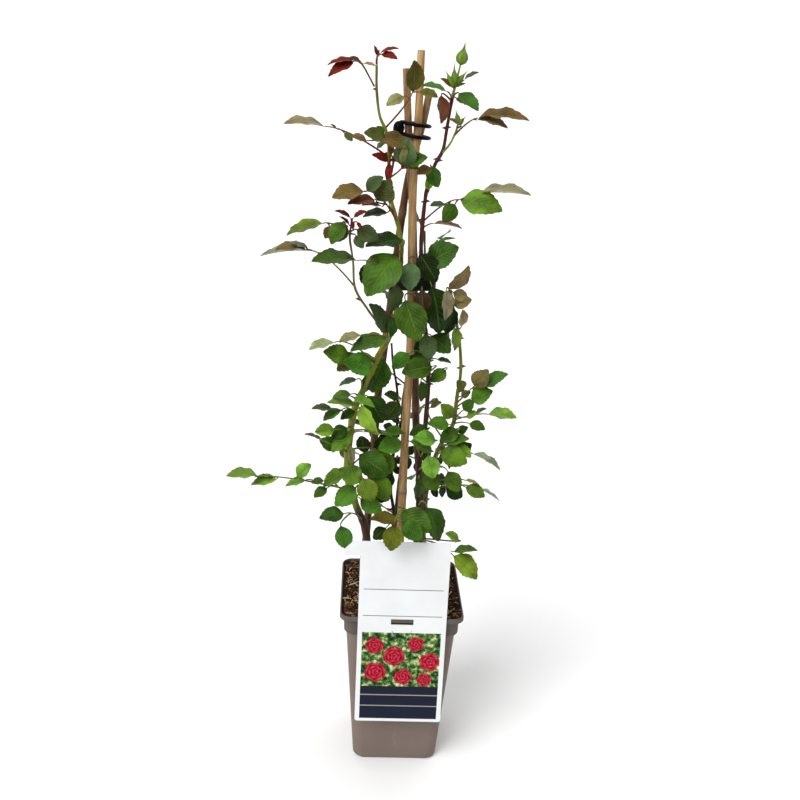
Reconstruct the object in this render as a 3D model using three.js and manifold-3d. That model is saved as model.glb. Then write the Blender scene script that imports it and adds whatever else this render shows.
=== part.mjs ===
// A climbing rose in a square nursery pot, trained up three bamboo canes.
// Millimetres, +Z up. The origin is the centre of the pot's flat underside,
// -Y is the front (the side that carries the card label), +X is to the right.

import * as THREE from 'three';
import { mergeVertices } from 'three/addons/utils/BufferGeometryUtils.js';
import Module from 'manifold-3d';

const wasm = await Module();
wasm.setup();

// ---------------------------------------------------------------- dimensions

const GAP = 0.3;                 // clearance between pieces that touch

const POT = {
  height: 220,
  baseWidth: 106,                // outside, across the flats, at the underside
  bodyTopWidth: 134,             // outside, just under the collar
  collarWidth: 140,
  lipWidth: 150,
  lipHeight: 7,
  collarHeight: 20,
  footHeight: 4,                 // small rounded edge round the underside
  footInset: 2.5,
  wall: 2.2,
  floor: 3,
  cornerBase: 13,
  cornerTop: 11,
  drainRadius: 5,
  drainOffset: 30,
};

const SOIL = { top: 217, bottom: POT.floor + GAP, lump: 1, grid: 7 };

const LABEL = {
  width: 106,
  height: 242,
  thickness: 0.9,
  aboveRim: 101,
  leanDegrees: 2,
  corner: 2,
  windowWidth: 27,
  windowHeight: 7.4,
  tongueDrop: 8,                 // from the window down to the tongue's V cut
  tongueHalf: 12.5,
  tongueDepth: 21,
  slit: 0.8,
  slitTip: 1.9,                  // how much longer the slit is at its tip, in slits
  standOff: 1.5,                 // from the pot's rim, beside the clearance
  tabWidth: 19,                 // hanging tab that stands out at the top left
  tabHeight: 19,
  tabChamfer: 11,
};

const CANE_DEPTH = 30;           // height of the canes' lower ends in the pot
const ROOT_DEPTH = 150;          // height of the rose stems' lower ends

const BLADE_THICKNESS = 1.1;     // of a leaflet, along its midrib
const RACHIS = { start: 1.0, end: 0.7 };   // half the thickness of a leaf's stalk
const FOOT_WIDTH = 2;            // of a leaflet, where it leaves the stalk
const STALK_BEND = 0.25;         // share of a stalk that turns into line with its blade
const STRAIGHT_STALK = 30;       // a shorter stalk has no bend, unless it turns
const STRAIGHT_TURN = 50;        // by more than this to meet its blade (degrees)
const PAIR_SPACING = 0.8;        // between a leaf's pairs, as a share of its end leaflet
const FIRST_PAIR = 0.8;          // from the end leaflet back to the first, in spacings
const STALK_SPARE = 0.1;         // stalk left bare below the last pair, in spacings
// The leaflets of a pair: their length against the end leaflet's, the angle that
// they spread by (degrees) and how far they sag. `further` is for each next pair,
// `crowded` for a stalk too short for its pairs, `varies` from leaflet to leaflet.
const PAIR_LENGTH = { first: 0.87, further: 0.08, varies: 0.04, crowded: 0.8 };
const PAIR_SPREAD = { further: 5, varies: 4, crowded: 24 };
const PAIR_SAG = { evenCrowded: -0.34, oddCrowded: 0.22, varies: 0.06 };

// ------------------------------------------------------------------ finishes

const finish = (color, roughness, metalness = 0) =>
  new THREE.MeshStandardMaterial({ color, roughness, metalness });

const taupePlastic = finish(0x82766d, 0.62);
const peat = finish(0x4a3322, 0.95);
const bamboo = finish(0xc39a68, 0.6);
const blackRubber = finish(0x16171a, 0.4);
const whiteCard = finish(0xf2f3f3, 0.5);
const greenLeaf = finish(0x3f6d22, 0.5);
const redLeaf = finish(0x7d2320, 0.45);
const budGreen = finish(0x6f9a3c, 0.55);

// ----------------------------------------------------------- solids and tubes

function solid(geometry) {
  const bare = geometry.clone();
  bare.deleteAttribute('normal');
  bare.deleteAttribute('uv');
  const merged = mergeVertices(bare, 1e-4);
  return new wasm.Manifold(new wasm.Mesh({
    numProp: 3,
    vertProperties: new Float32Array(merged.attributes.position.array),
    triVerts: new Uint32Array(merged.index.array),
  }));
}

function join(solids) {
  return solids.reduce((whole, piece) => whole.add(piece));
}

function meshOf(name, body, material) {
  const { vertProperties, triVerts } = body.getMesh();
  const geometry = new THREE.BufferGeometry();
  geometry.setAttribute('position', new THREE.BufferAttribute(vertProperties, 3));
  geometry.setIndex(new THREE.BufferAttribute(triVerts, 1));
  geometry.computeVertexNormals();
  const mesh = new THREE.Mesh(geometry, material);
  mesh.name = name;
  return mesh;
}

function curveThrough(points, closed = false) {
  const vectors = points.map(([x, y, z]) => new THREE.Vector3(x, y, z));
  return new THREE.CatmullRomCurve3(vectors, closed, 'catmullrom', 0.5);
}

// A round bar of changing thickness along a curve, closed at both ends, or a
// ring where the curve closes on itself. `places` are the shares of the curve,
// from 0 to 1, at which it has a ring of corners.
function sweep(curve, radiusAt, sides, places) {
  const closed = curve.closed === true;
  const rings = places.length;
  const positions = [];
  let side = new THREE.Vector3(1, 0, 0);
  for (const place of places) {
    const centre = curve.getPoint(place);
    const along = curve.getTangent(place);
    const other = closed ? new THREE.Vector3(0, 0, 1) : along.clone().cross(side).normalize();
    side = other.clone().cross(along).normalize();
    const radius = radiusAt(place);
    for (let j = 0; j < sides; j += 1) {
      const angle = (j / sides) * Math.PI * 2;
      const rim = centre.clone()
        .addScaledVector(side, Math.cos(angle) * radius)
        .addScaledVector(other, Math.sin(angle) * radius);
      positions.push(rim.x, rim.y, rim.z);
    }
  }
  const index = [];
  const corner = (i, j) => (i % rings) * sides + (j % sides);
  for (let i = 0; i < (closed ? rings : rings - 1); i += 1) {
    for (let j = 0; j < sides; j += 1) {
      index.push(corner(i, j), corner(i, j + 1), corner(i + 1, j + 1));
      index.push(corner(i, j), corner(i + 1, j + 1), corner(i + 1, j));
    }
  }
  if (!closed) {
    for (let j = 1; j < sides - 1; j += 1) {
      index.push(corner(0, 0), corner(0, j + 1), corner(0, j));
      index.push(corner(rings - 1, 0), corner(rings - 1, j), corner(rings - 1, j + 1));
    }
  }
  const geometry = new THREE.BufferGeometry();
  geometry.setAttribute('position', new THREE.Float32BufferAttribute(positions, 3));
  geometry.setIndex(index);
  return geometry;
}

function evenPlaces(count, closed = false) {
  const last = closed ? count : count - 1;
  return Array.from({ length: count }, (_, i) => i / last);
}

// The share of a rising curve at which it passes a height.
function placeAtHeight(curve, height) {
  let low = 0;
  let high = 1;
  for (let i = 0; i < 30; i += 1) {
    const middle = (low + high) / 2;
    if (curve.getPoint(middle).z < height) low = middle;
    else high = middle;
  }
  return low;
}

// ------------------------------------------------------------------- the pot

function roundedSquare(width, radius) {
  const half = width / 2;
  const shape = new THREE.Shape();
  shape.moveTo(-half + radius, -half);
  shape.lineTo(half - radius, -half);
  shape.absarc(half - radius, -half + radius, radius, -Math.PI / 2, 0);
  shape.lineTo(half, half - radius);
  shape.absarc(half - radius, half - radius, radius, 0, Math.PI / 2);
  shape.lineTo(-half + radius, half);
  shape.absarc(-half + radius, half - radius, radius, Math.PI / 2, Math.PI);
  shape.lineTo(-half, -half + radius);
  shape.absarc(-half + radius, -half + radius, radius, Math.PI, Math.PI * 1.5);
  return shape;
}

// A block with rounded upright corners that widens evenly from low to high.
function taperedBlock(low, high, widthLow, widthHigh, corner) {
  const geometry = new THREE.ExtrudeGeometry(roundedSquare(widthLow, corner), {
    depth: high - low,
    bevelEnabled: false,
    curveSegments: 2,
  });
  const position = geometry.attributes.position;
  for (let i = 0; i < position.count; i += 1) {
    const spread = position.getZ(i) > 0 ? widthHigh / widthLow : 1;
    position.setXY(i, position.getX(i) * spread, position.getY(i) * spread);
  }
  geometry.translate(0, 0, low);
  return geometry;
}

const lipFoot = POT.height - POT.lipHeight;
const collarFoot = lipFoot - POT.collarHeight;
const collarInnerWidth = POT.collarWidth - 2 * POT.wall;
const lipInnerWidth = POT.lipWidth - 2 * POT.wall;
const outerWidthAt = (z) =>
  POT.baseWidth + (POT.bodyTopWidth - POT.baseWidth) * (z / collarFoot);
const innerWidthAt = (z) => outerWidthAt(z) - 2 * POT.wall;

function makePot() {
  const outside = [
    taperedBlock(0, POT.footHeight, POT.baseWidth - 2 * POT.footInset,
      outerWidthAt(POT.footHeight), POT.cornerBase),
    taperedBlock(POT.footHeight, collarFoot + 1, outerWidthAt(POT.footHeight),
      outerWidthAt(collarFoot + 1), POT.cornerBase),
    taperedBlock(collarFoot, lipFoot + 1, POT.collarWidth - 2,
      POT.collarWidth, POT.cornerTop),
    taperedBlock(lipFoot, POT.height, POT.lipWidth, POT.lipWidth, POT.cornerTop),
  ];
  const inside = [
    taperedBlock(POT.floor, collarFoot + 3, innerWidthAt(POT.floor),
      innerWidthAt(collarFoot + 3), POT.cornerBase - POT.wall),
    taperedBlock(collarFoot + 2, lipFoot + POT.wall + 1, collarInnerWidth - 2,
      collarInnerWidth, POT.cornerTop - POT.wall),
    taperedBlock(lipFoot + POT.wall, POT.height + 1, lipInnerWidth, lipInnerWidth,
      POT.cornerTop - POT.wall),
  ];
  let pot = join(outside.map(solid)).subtract(join(inside.map(solid)));
  for (const [sx, sy] of [[1, 1], [-1, 1], [1, -1], [-1, -1]]) {
    const hole = new THREE.CylinderGeometry(POT.drainRadius, POT.drainRadius, 12, 8);
    hole.rotateX(Math.PI / 2);
    hole.translate(sx * POT.drainOffset, sy * POT.drainOffset, 0);
    pot = pot.subtract(solid(hole));
  }
  return meshOf('pot', pot, taupePlastic);
}

// ----------------------------------------------------------------- the canes

// Each cane: its line from the pot to its cut top, the radii of its two ends
// and the heights of its swollen joints.
const CANES = {
  cane_front: {
    line: [[-6, -40, CANE_DEPTH], [-6, -36, 205], [-5, -28, 334], [-5, -22, 429],
      [-4, -16, 543], [-9, -8, 707], [-7, -3, 792], [-7, 3, 863]],
    radius: [5.4, 4.1],
    joints: [364, 575, 748],
  },
  cane_right: {
    line: [[33, 33, CANE_DEPTH], [30, 28, 205], [22, 24, 324], [12, 20, 413],
      [8, 18, 459], [-6, 8, 671], [-12, 3, 735], [-17, 1, 783], [-22, 4, 844]],
    radius: [5.0, 4.0],
    joints: [300, 456, 640],
  },
  cane_left: {
    line: [[-42, 34, CANE_DEPTH], [-49, 30, 205], [-45, 26, 287], [-38, 20, 464],
      [-34, 17, 515], [-29, 15, 570], [-19, 14, 687], [-12, 13, 740],
      [-1, 7, 789], [4, 3, 821]],
    radius: [4.9, 3.9],
    joints: [330, 505, 690],
  },
};

const JOINT_REACH = 8;           // how far a swollen joint spreads up and down
const JOINT_SWELL = 0.8;
const CANE_SIDES = 6;

function caneBar(cane, extra = 0) {
  const curve = curveThrough(cane.line);
  const [low, high] = cane.radius;
  const radiusAt = (place) => {
    const { z } = curve.getPoint(place);
    const swell = cane.joints.reduce(
      (sum, joint) => sum + Math.max(0, 1 - Math.abs(z - joint) / JOINT_REACH), 0);
    return low + (high - low) * place + JOINT_SWELL * swell + extra;
  };
  const heights = cane.line.map(([, , z]) => z).slice(1, -1);
  cane.joints.forEach((joint) => heights.push(joint - JOINT_REACH, joint, joint + JOINT_REACH));
  heights.sort((a, b) => a - b);
  const apart = heights.filter((z, i) => i === 0 || z - heights[i - 1] > 3);
  const places = [0, ...apart.map((z) => placeAtHeight(curve, z)), 1];
  return solid(sweep(curve, radiusAt, CANE_SIDES, places));
}

// ------------------------------------------------------------------ the ties

// Two loops of black rubber cord that end in a ball, round the tops of the canes.
const TOP_TIE = {
  cord: 2,
  heights: [787, 774.5],
  loop: [[-25.1, -0.1], [-18.4, -6.8], [-7, -10.8], [2.5, -5], [6.6, 5.1], [2, 14.3],
    [-7, 15.8], [-20.4, 9.8]],
  slope: 0.12,                   // how fast each loop falls towards +X
  levelAt: -10,                  // the x at which it is at its own height
  rings: 16,
  ball: [-27.6, -3, 782.4],
  ballRadius: 6.2,
  ballStretch: 1.24,
};

// A flat black band that gathers the canes and the rose half-way up.
const BAND = {
  centre: [-7, 2.2],
  half: [31, 21.8],
  low: 607,
  high: 619.5,
  thickness: 1.6,
  squareness: 3.4,
};

function makeTopTie() {
  const { cord, loop, slope, levelAt, rings } = TOP_TIE;
  const pieces = TOP_TIE.heights.map((height) => {
    const line = curveThrough(loop.map(([x, y]) => [x, y, height - slope * (x - levelAt)]), true);
    return solid(sweep(line, () => cord, 4, evenPlaces(rings, true)));
  });
  const ball = new THREE.SphereGeometry(TOP_TIE.ballRadius, 8, 6);
  ball.rotateX(Math.PI / 2);
  ball.scale(1, 1, TOP_TIE.ballStretch);
  ball.translate(...TOP_TIE.ball);
  pieces.push(solid(ball));
  return meshOf('top_tie', join(pieces), blackRubber);
}

function ovalOutline(halfX, halfY, points) {
  const outline = [];
  for (let i = 0; i < points; i += 1) {
    const angle = (i / points) * Math.PI * 2;
    const power = 2 / BAND.squareness;
    const c = Math.cos(angle);
    const s = Math.sin(angle);
    outline.push(new THREE.Vector2(
      BAND.centre[0] + halfX * Math.sign(c) * Math.abs(c) ** power,
      BAND.centre[1] + halfY * Math.sign(s) * Math.abs(s) ** power,
    ));
  }
  return outline;
}

function makeBand() {
  const points = 24;
  const shape = new THREE.Shape(ovalOutline(BAND.half[0], BAND.half[1], points));
  const inner = ovalOutline(BAND.half[0] - BAND.thickness, BAND.half[1] - BAND.thickness, points);
  shape.holes.push(new THREE.Path(inner));
  const geometry = new THREE.ExtrudeGeometry(shape, {
    depth: BAND.high - BAND.low,
    bevelEnabled: false,
  });
  geometry.translate(0, 0, BAND.low);
  return meshOf('middle_band', solid(geometry), blackRubber);
}

// ----------------------------------------------------------------- the label

function makeLabel() {
  const { width, height, corner } = LABEL;
  const top = LABEL.aboveRim;
  const foot = top - height;
  const half = width / 2;
  const shape = new THREE.Shape();
  shape.moveTo(-half + corner, foot);
  shape.lineTo(half - corner, foot);
  shape.lineTo(half, foot + corner);
  shape.lineTo(half, top - corner);
  shape.lineTo(half - corner, top);
  shape.lineTo(-half - LABEL.tabWidth + LABEL.tabChamfer, top);
  shape.lineTo(-half - LABEL.tabWidth, top - LABEL.tabChamfer);
  shape.lineTo(-half - LABEL.tabWidth, top - LABEL.tabHeight);
  shape.lineTo(-half, top - LABEL.tabHeight);
  shape.lineTo(-half, foot + corner);
  shape.closePath();

  const windowHalf = LABEL.windowWidth / 2;
  const windowTop = 0;
  const window = new THREE.Path();
  window.moveTo(-windowHalf, windowTop);
  window.lineTo(-windowHalf, windowTop - LABEL.windowHeight);
  window.lineTo(windowHalf, windowTop - LABEL.windowHeight);
  window.lineTo(windowHalf, windowTop);
  window.closePath();
  shape.holes.push(window);

  const slitTop = windowTop - LABEL.windowHeight - LABEL.tongueDrop;
  const tip = slitTop - LABEL.tongueDepth;
  const { tongueHalf, slit } = LABEL;
  const tongue = new THREE.Path();
  tongue.moveTo(-tongueHalf, slitTop);
  tongue.lineTo(0, tip);
  tongue.lineTo(tongueHalf, slitTop);
  tongue.lineTo(tongueHalf - slit, slitTop);
  tongue.lineTo(0, tip + LABEL.slitTip * slit);
  tongue.lineTo(-tongueHalf + slit, slitTop);
  tongue.closePath();
  shape.holes.push(tongue);

  const geometry = new THREE.ExtrudeGeometry(shape, {
    depth: LABEL.thickness,
    bevelEnabled: false,
  });
  geometry.translate(0, 0, -LABEL.thickness);
  geometry.rotateX(Math.PI / 2);
  geometry.rotateX(-THREE.MathUtils.degToRad(LABEL.leanDegrees));
  geometry.translate(0, -POT.lipWidth / 2 - GAP - LABEL.standOff, POT.height);
  return meshOf('label', solid(geometry), whiteCard);
}

// -------------------------------------------------------- the rose: its stems

// Each stem: its line from the soil (or from the stem that it grows on) to its
// tip, the radii of its two ends, and the heights of its thorns with the way
// that each points (degrees, 0 is +X, 90 is +Y).
const STEMS = {
  stem_left: {
    line: [[-34, -12, ROOT_DEPTH], [-39, -13, 205], [-44, -15, 282], [-49, -18, 314],
      [-60, -25, 344], [-70, -30, 379], [-72, -30, 404], [-70, -28, 435],
      [-65, -26, 468], [-56, -24, 490], [-48, -22, 511], [-38, -20, 535],
      [-28, -16, 553], [-22, -14, 581], [-20, -12, 618], [-19, -13, 652],
      [-23, -15, 676], [-30, -18, 697], [-35, -20, 718], [-37, -22, 745],
      [-38, -24, 765], [-42, -24, 781], [-49, -22, 796], [-53, -20, 821],
      [-54, -18, 846]],
    radius: [5.4, 1.3],
    thorns: [[300, 200], [362, 170], [418, 190], [452, 350], [500, 150], [520, 320],
      [706, 190], [757, 170], [822, 180]],
  },
  stem_flowering: {
    line: [[10, -4, ROOT_DEPTH], [12, -4, 205], [17, -5, 317], [15, -6, 358],
      [15, -6, 397], [19, -6, 436], [20, -6, 474], [19, -6, 511], [14, -6, 553],
      [9, -8, 589], [6, -10, 624], [3, -10, 652], [3, -12, 680], [4, -14, 703],
      [6, -14, 722], [13, -12, 746], [21, -10, 762], [24, -10, 785],
      [27, -8, 809], [28, -8, 818]],
    radius: [3.6, 1.7],
    thorns: [[494, 350], [540, 20], [686, 185], [706, 190], [707, 350], [722, 0],
      [751, 350], [752, 170], [785, 185], [786, 0]],
  },
  stem_right: {
    line: [[18, 8, ROOT_DEPTH], [20, 8, 205], [25, 5, 312], [27, 5, 367],
      [35, 2, 401], [41, 0, 418], [49, 0, 432], [54, 0, 448], [55, 0, 473],
      [58, 2, 507], [55, 4, 540], [50, 4, 564], [44, 4, 587], [40, 4, 605]],
    radius: [3.4, 1.5],
    thorns: [[340, 20], [462, 0], [512, 180], [514, 10], [548, 0]],
  },
  stem_middle: {
    line: [[-14, 8, ROOT_DEPTH], [-13, 6, 205], [-13, -3, 316], [-18, -2, 355],
      [-17, 0, 400], [-14, 0, 445], [-16, 0, 483], [-22, 0, 514], [-25, 1, 540]],
    radius: [2.6, 1.2],
    thorns: [[330, 200], [490, 0], [520, 0]],
  },
  stem_back: {
    line: [[0, 30, ROOT_DEPTH], [-2, 32, 205], [-8, 42, 300], [-4, 46, 380],
      [-6, 40, 460], [4, 27, 540], [10, 17, 613], [8, 26, 668]],
    radius: [3.4, 1.3],
    thorns: [[260, 100], [430, 130], [580, 60]],
  },
};

// Side growth, each a piece of its own that starts just clear of its stem. The
// young ones are deep red, and the ones with buds are yellow-green.
const SHOOTS = {
  shoot_left: {
    line: [[-31.4, -17.8, 553.4], [-42, -22, 569], [-55, -31, 588], [-69, -42, 613],
      [-72, -52, 644], [-76, -60, 669], [-76, -62, 679]],
    radius: [1.6, 1.1],
    thorns: [[600, 190], [652, 100]],
  },
  young_tip_left: {
    line: [[-54.1, -18, 846.4], [-54, -18, 853], [-52, -20, 861]],
    radius: [1.2, 0.9],
    thorns: [],
  },
  young_leaf_left: {
    line: [[-55.8, -20.4, 825], [-66, -28, 842], [-72, -34, 850]],
    radius: [1.0, 0.8],
    thorns: [],
  },
  young_shoot: {
    line: [[-34.1, -24.1, 737], [-32.5, -26.5, 748], [-31.5, -28, 760]],
    radius: [1.4, 1.0],
    thorns: [],
  },
  young_tip_shoot: {
    line: [[-76, -62, 679.4], [-75.5, -63, 683], [-75, -65, 687]],
    radius: [1.1, 0.9],
    thorns: [],
  },
  bud_cluster: {
    line: [[28.1, -8, 818.4], [31, -8, 832], [35, -8, 853]],
    radius: [1.7, 0.9],
    thorns: [],
  },
  bud_spray: {
    line: [[26.3, -11.6, 766], [30, -13, 773], [34, -14, 784], [36, -14, 796]],
    radius: [1.3, 1.0],
    thorns: [],
  },
};

// Each bud: its foot, the point that its sepals close to, and its widest radius.
const BUDS = {
  bud_cluster: [
    [[34.6, -8, 850], [39, -8, 877], 6.2],
    [[28.5, -8.5, 827], [17, -10, 848], 3.4],
    [[29.5, -9.5, 829], [27, -14, 856], 3.6],
    [[30.5, -8, 830], [45, -8, 848], 3.2],
  ],
  bud_spray: [
    [[36, -14, 791], [31, -14, 808], 2.8],
    [[35.5, -14, 789], [45, -15, 801], 2.6],
  ],
};

// ------------------------------------------------------------------ its leaves

// One side of a leaflet's saw-toothed outline, from its foot to its tip:
// how far along, and how far out as a share of the half width.
const CUT_LARGE = [[0.09, 0.34], [0.28, 0.94], [0.31, 0.88], [0.53, 1.0], [0.56, 0.91],
  [0.8, 0.68], [0.83, 0.57]];
const CUT_MEDIUM = [[0.1, 0.38], [0.37, 1.0], [0.41, 0.9], [0.71, 0.82], [0.75, 0.68]];
const CUT_SMALL = [[0.33, 0.95], [0.7, 0.78]];
const LARGE_FROM = 42;
const MEDIUM_FROM = 30;

function cutFor(length) {
  if (length > LARGE_FROM) return CUT_LARGE;
  if (length > MEDIUM_FROM) return CUT_MEDIUM;
  return CUT_SMALL;
}

// A steady value from -1 to 1 that differs from one leaflet to the next.
function vary(seed) {
  const value = Math.sin(seed * 12.9898) * 43758.5453;
  return (value - Math.floor(value)) * 2 - 1;
}

// Three directions at right angles: along the shape, to its right, and out of
// its upper face, which is turned as near to `up` as it can be.
function frameAlong(direction, up) {
  const along = direction.clone().normalize();
  const across = new THREE.Vector3().crossVectors(along, up).normalize();
  const face = new THREE.Vector3().crossVectors(across, along);
  return { along, across, face };
}

// The way a leaf's upper face is turned: `face` degrees from straight up towards
// the front, and `lean` degrees towards +X.
function facing(face, lean) {
  const f = THREE.MathUtils.degToRad(face);
  const l = THREE.MathUtils.degToRad(lean);
  return new THREE.Vector3(Math.sin(l), -Math.sin(f) * Math.cos(l), Math.cos(f) * Math.cos(l));
}

// Points and triangles of one closed surface that grows as it is built.
class Skin {
  positions = [];

  index = [];

  point(vector) {
    this.positions.push(vector.x, vector.y, vector.z);
    return this.positions.length / 3 - 1;
  }

  // A triangle, or its mirror image where `flip` is set.
  triangle(a, b, c, flip = false) {
    if (flip) this.index.push(a, c, b);
    else this.index.push(a, b, c);
  }

  geometry() {
    const geometry = new THREE.BufferGeometry();
    geometry.setAttribute('position', new THREE.Float32BufferAttribute(this.positions, 3));
    geometry.setIndex(this.index);
    return geometry;
  }
}

// A leaflet grown from corners of its stalk. Its two halves fold up from the
// midrib, its tip droops, and its two faces meet at the saw-toothed rim.
// `foot` holds the corners: [upper, lower] on the right and on the left.
function growLeaflet(skin, foot, start, frame, length, style) {
  const cut = cutFor(length);
  const ribs = cut === CUT_LARGE ? [0.34, 0.68] : [0.42];
  const place = (x, share, lift) => skin.point(start.clone()
    .addScaledVector(frame.across, x)
    .addScaledVector(frame.along, share * length)
    .addScaledVector(frame.face,
      style.fold * Math.abs(x) - style.droop * length * share * share + lift));
  const tip = place(0, 1, 0);
  const halfWidth = (length * style.width) / 2;
  const rims = [1, -1].map((side) => cut.map(([share, out]) => place(side * out * halfWidth, share, 0)));
  for (const layer of [0, 1]) {
    const lift = (layer === 0 ? 1 : -1) * BLADE_THICKNESS / 2;
    const spine = [...ribs.map((share) => place(0, share, lift)), tip];
    const spineShares = [...ribs, 1];
    if (foot[0][layer] !== foot[1][layer]) {
      skin.triangle(foot[1][layer], foot[0][layer], spine[0], layer === 1);
    }
    for (const side of [0, 1]) {
      const flip = side !== layer;
      const rim = [foot[side][layer], ...rims[side], tip];
      const rimShares = [0, ...cut.map(([share]) => share), 1];
      let i = 0;
      let j = 0;
      while (i < spine.length - 1 || j < rim.length - 1) {
        const alongRim = i === spine.length - 1
          || (j < rim.length - 1 && rimShares[j + 1] <= spineShares[i + 1]);
        if (alongRim) {
          if (spine[i] !== rim[j + 1]) skin.triangle(spine[i], rim[j], rim[j + 1], flip);
          j += 1;
        } else {
          if (spine[i + 1] !== rim[j]) skin.triangle(spine[i], rim[j], spine[i + 1], flip);
          i += 1;
        }
      }
    }
  }
  skin.triangle(foot[0][1], rims[0][0], foot[0][0]);
  skin.triangle(foot[1][1], rims[1][0], foot[1][0], true);
}

// One rose leaf as a single closed surface: a stalk with a keel below from `base`
// to `foot`, an end leaflet from there to `tip`, and pairs of leaflets on the stalk.
// A stalk that carries other leaves is rounded off in more stretches.
function roseLeaf(base, foot, tip, leaflets, up, style, seed, carries) {
  const blade = tip.clone().sub(foot);
  const size = blade.length();
  const reach = foot.clone().sub(base);
  const stalkLength = reach.length();
  const lift = new THREE.Vector3(0, 0, 1).projectOnPlane(reach.normalize());
  const bow = foot.clone()
    .addScaledVector(blade, -STALK_BEND * stalkLength / size)
    .addScaledVector(lift, style.arch * stalkLength);
  const stalk = new THREE.QuadraticBezierCurve3(base, bow, foot);

  const pairs = (leaflets - 1) / 2;
  const wanted = PAIR_SPACING * size;
  const spacing = Math.min(wanted, stalkLength / (pairs + STALK_SPARE));
  const crowding = 1 - spacing / wanted;
  const half = FOOT_WIDTH / 2 / stalkLength;
  const turn = THREE.MathUtils.radToDeg(reach.angleTo(blade));
  const bends = stalkLength > STRAIGHT_STALK || turn > STRAIGHT_TURN;
  const stretches = carries ? 4 : 1 + bends;
  const places = pairs === 0 ? evenPlaces(stretches + 1).slice(0, -1) : [0];
  for (let pair = pairs - 1; pair >= 0; pair -= 1) {
    const middle = 1 - (spacing * (pair + FIRST_PAIR)) / stalkLength;
    places.push(middle - half, middle + half);
  }
  places.push(1);

  const skin = new Skin();
  const rings = [];
  const bladeFrame = frameAlong(blade, up);
  let { across } = bladeFrame;
  for (const place of places.reverse()) {
    const along = stalk.getTangent(place);
    across = across.clone().projectOnPlane(along).normalize();
    const face = new THREE.Vector3().crossVectors(across, along);
    const centre = stalk.getPoint(place);
    const r = RACHIS.start + (RACHIS.end - RACHIS.start) * place;
    const corners = [[-r, r / 2], [r, r / 2], [0, -r]].map(([x, z]) => skin.point(
      centre.clone().addScaledVector(across, x).addScaledVector(face, z)));
    rings.unshift({ centre, frame: { along, across, face }, corners });
  }
  const [left, right, keel] = [0, 1, 2];
  const first = rings[0].corners;
  skin.triangle(first[left], first[keel], first[right]);
  for (let i = 0; i < rings.length - 1; i += 1) {
    const near = rings[i].corners;
    const far = rings[i + 1].corners;
    const opensAtSides = pairs > 0 && i % 2 === 1 && i < rings.length - 2;
    for (let side = 0; side < (opensAtSides ? 1 : 3); side += 1) {
      const next = (side + 1) % 3;
      skin.triangle(near[side], near[next], far[next]);
      skin.triangle(near[side], far[next], far[side]);
    }
    if (!opensAtSides) continue;
    const pair = pairs - 1 - (i - 1) / 2;
    const { frame } = rings[i];
    const middle = rings[i].centre.clone().add(rings[i + 1].centre).multiplyScalar(0.5);
    for (const side of [1, -1]) {
      const draw = seed + pair * 2 + side;
      const length = size * (1 - PAIR_LENGTH.crowded * crowding)
        * (PAIR_LENGTH.first - PAIR_LENGTH.further * pair + PAIR_LENGTH.varies * vary(draw));
      const spread = THREE.MathUtils.degToRad(style.spread + PAIR_SPREAD.crowded * crowding
        + PAIR_SPREAD.further * pair + PAIR_SPREAD.varies * vary(draw + 0.3));
      const crowdedSag = pair % 2 === 0 ? PAIR_SAG.evenCrowded : PAIR_SAG.oddCrowded;
      const sag = style.sag + crowdedSag * crowding + PAIR_SAG.varies * vary(draw + 0.6);
      const direction = frame.along.clone().multiplyScalar(Math.cos(spread))
        .addScaledVector(frame.across, side * Math.sin(spread))
        .addScaledVector(frame.face, sag);
      const corners = side === 1
        ? [[near[right], near[keel]], [far[right], far[keel]]]
        : [[far[left], far[keel]], [near[left], near[keel]]];
      const start = middle.clone().addScaledVector(frame.across, side * (RACHIS.end + 0.5));
      growLeaflet(skin, corners, start, frameAlong(direction, frame.face), length, style);
    }
  }
  const last = rings[rings.length - 1].corners;
  growLeaflet(skin, [[last[right], last[keel]], [last[left], last[keel]]], foot, bladeFrame, size, style);
  return solid(skin.geometry());
}

const MATURE = { width: 0.76, fold: 0.2, droop: 0.16, arch: 0.06, spread: 58, sag: -0.1 };
const YOUNG = { width: 0.5, fold: 0.5, droop: 0.3, arch: 0.06, spread: 44, sag: -0.1 };

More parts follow.
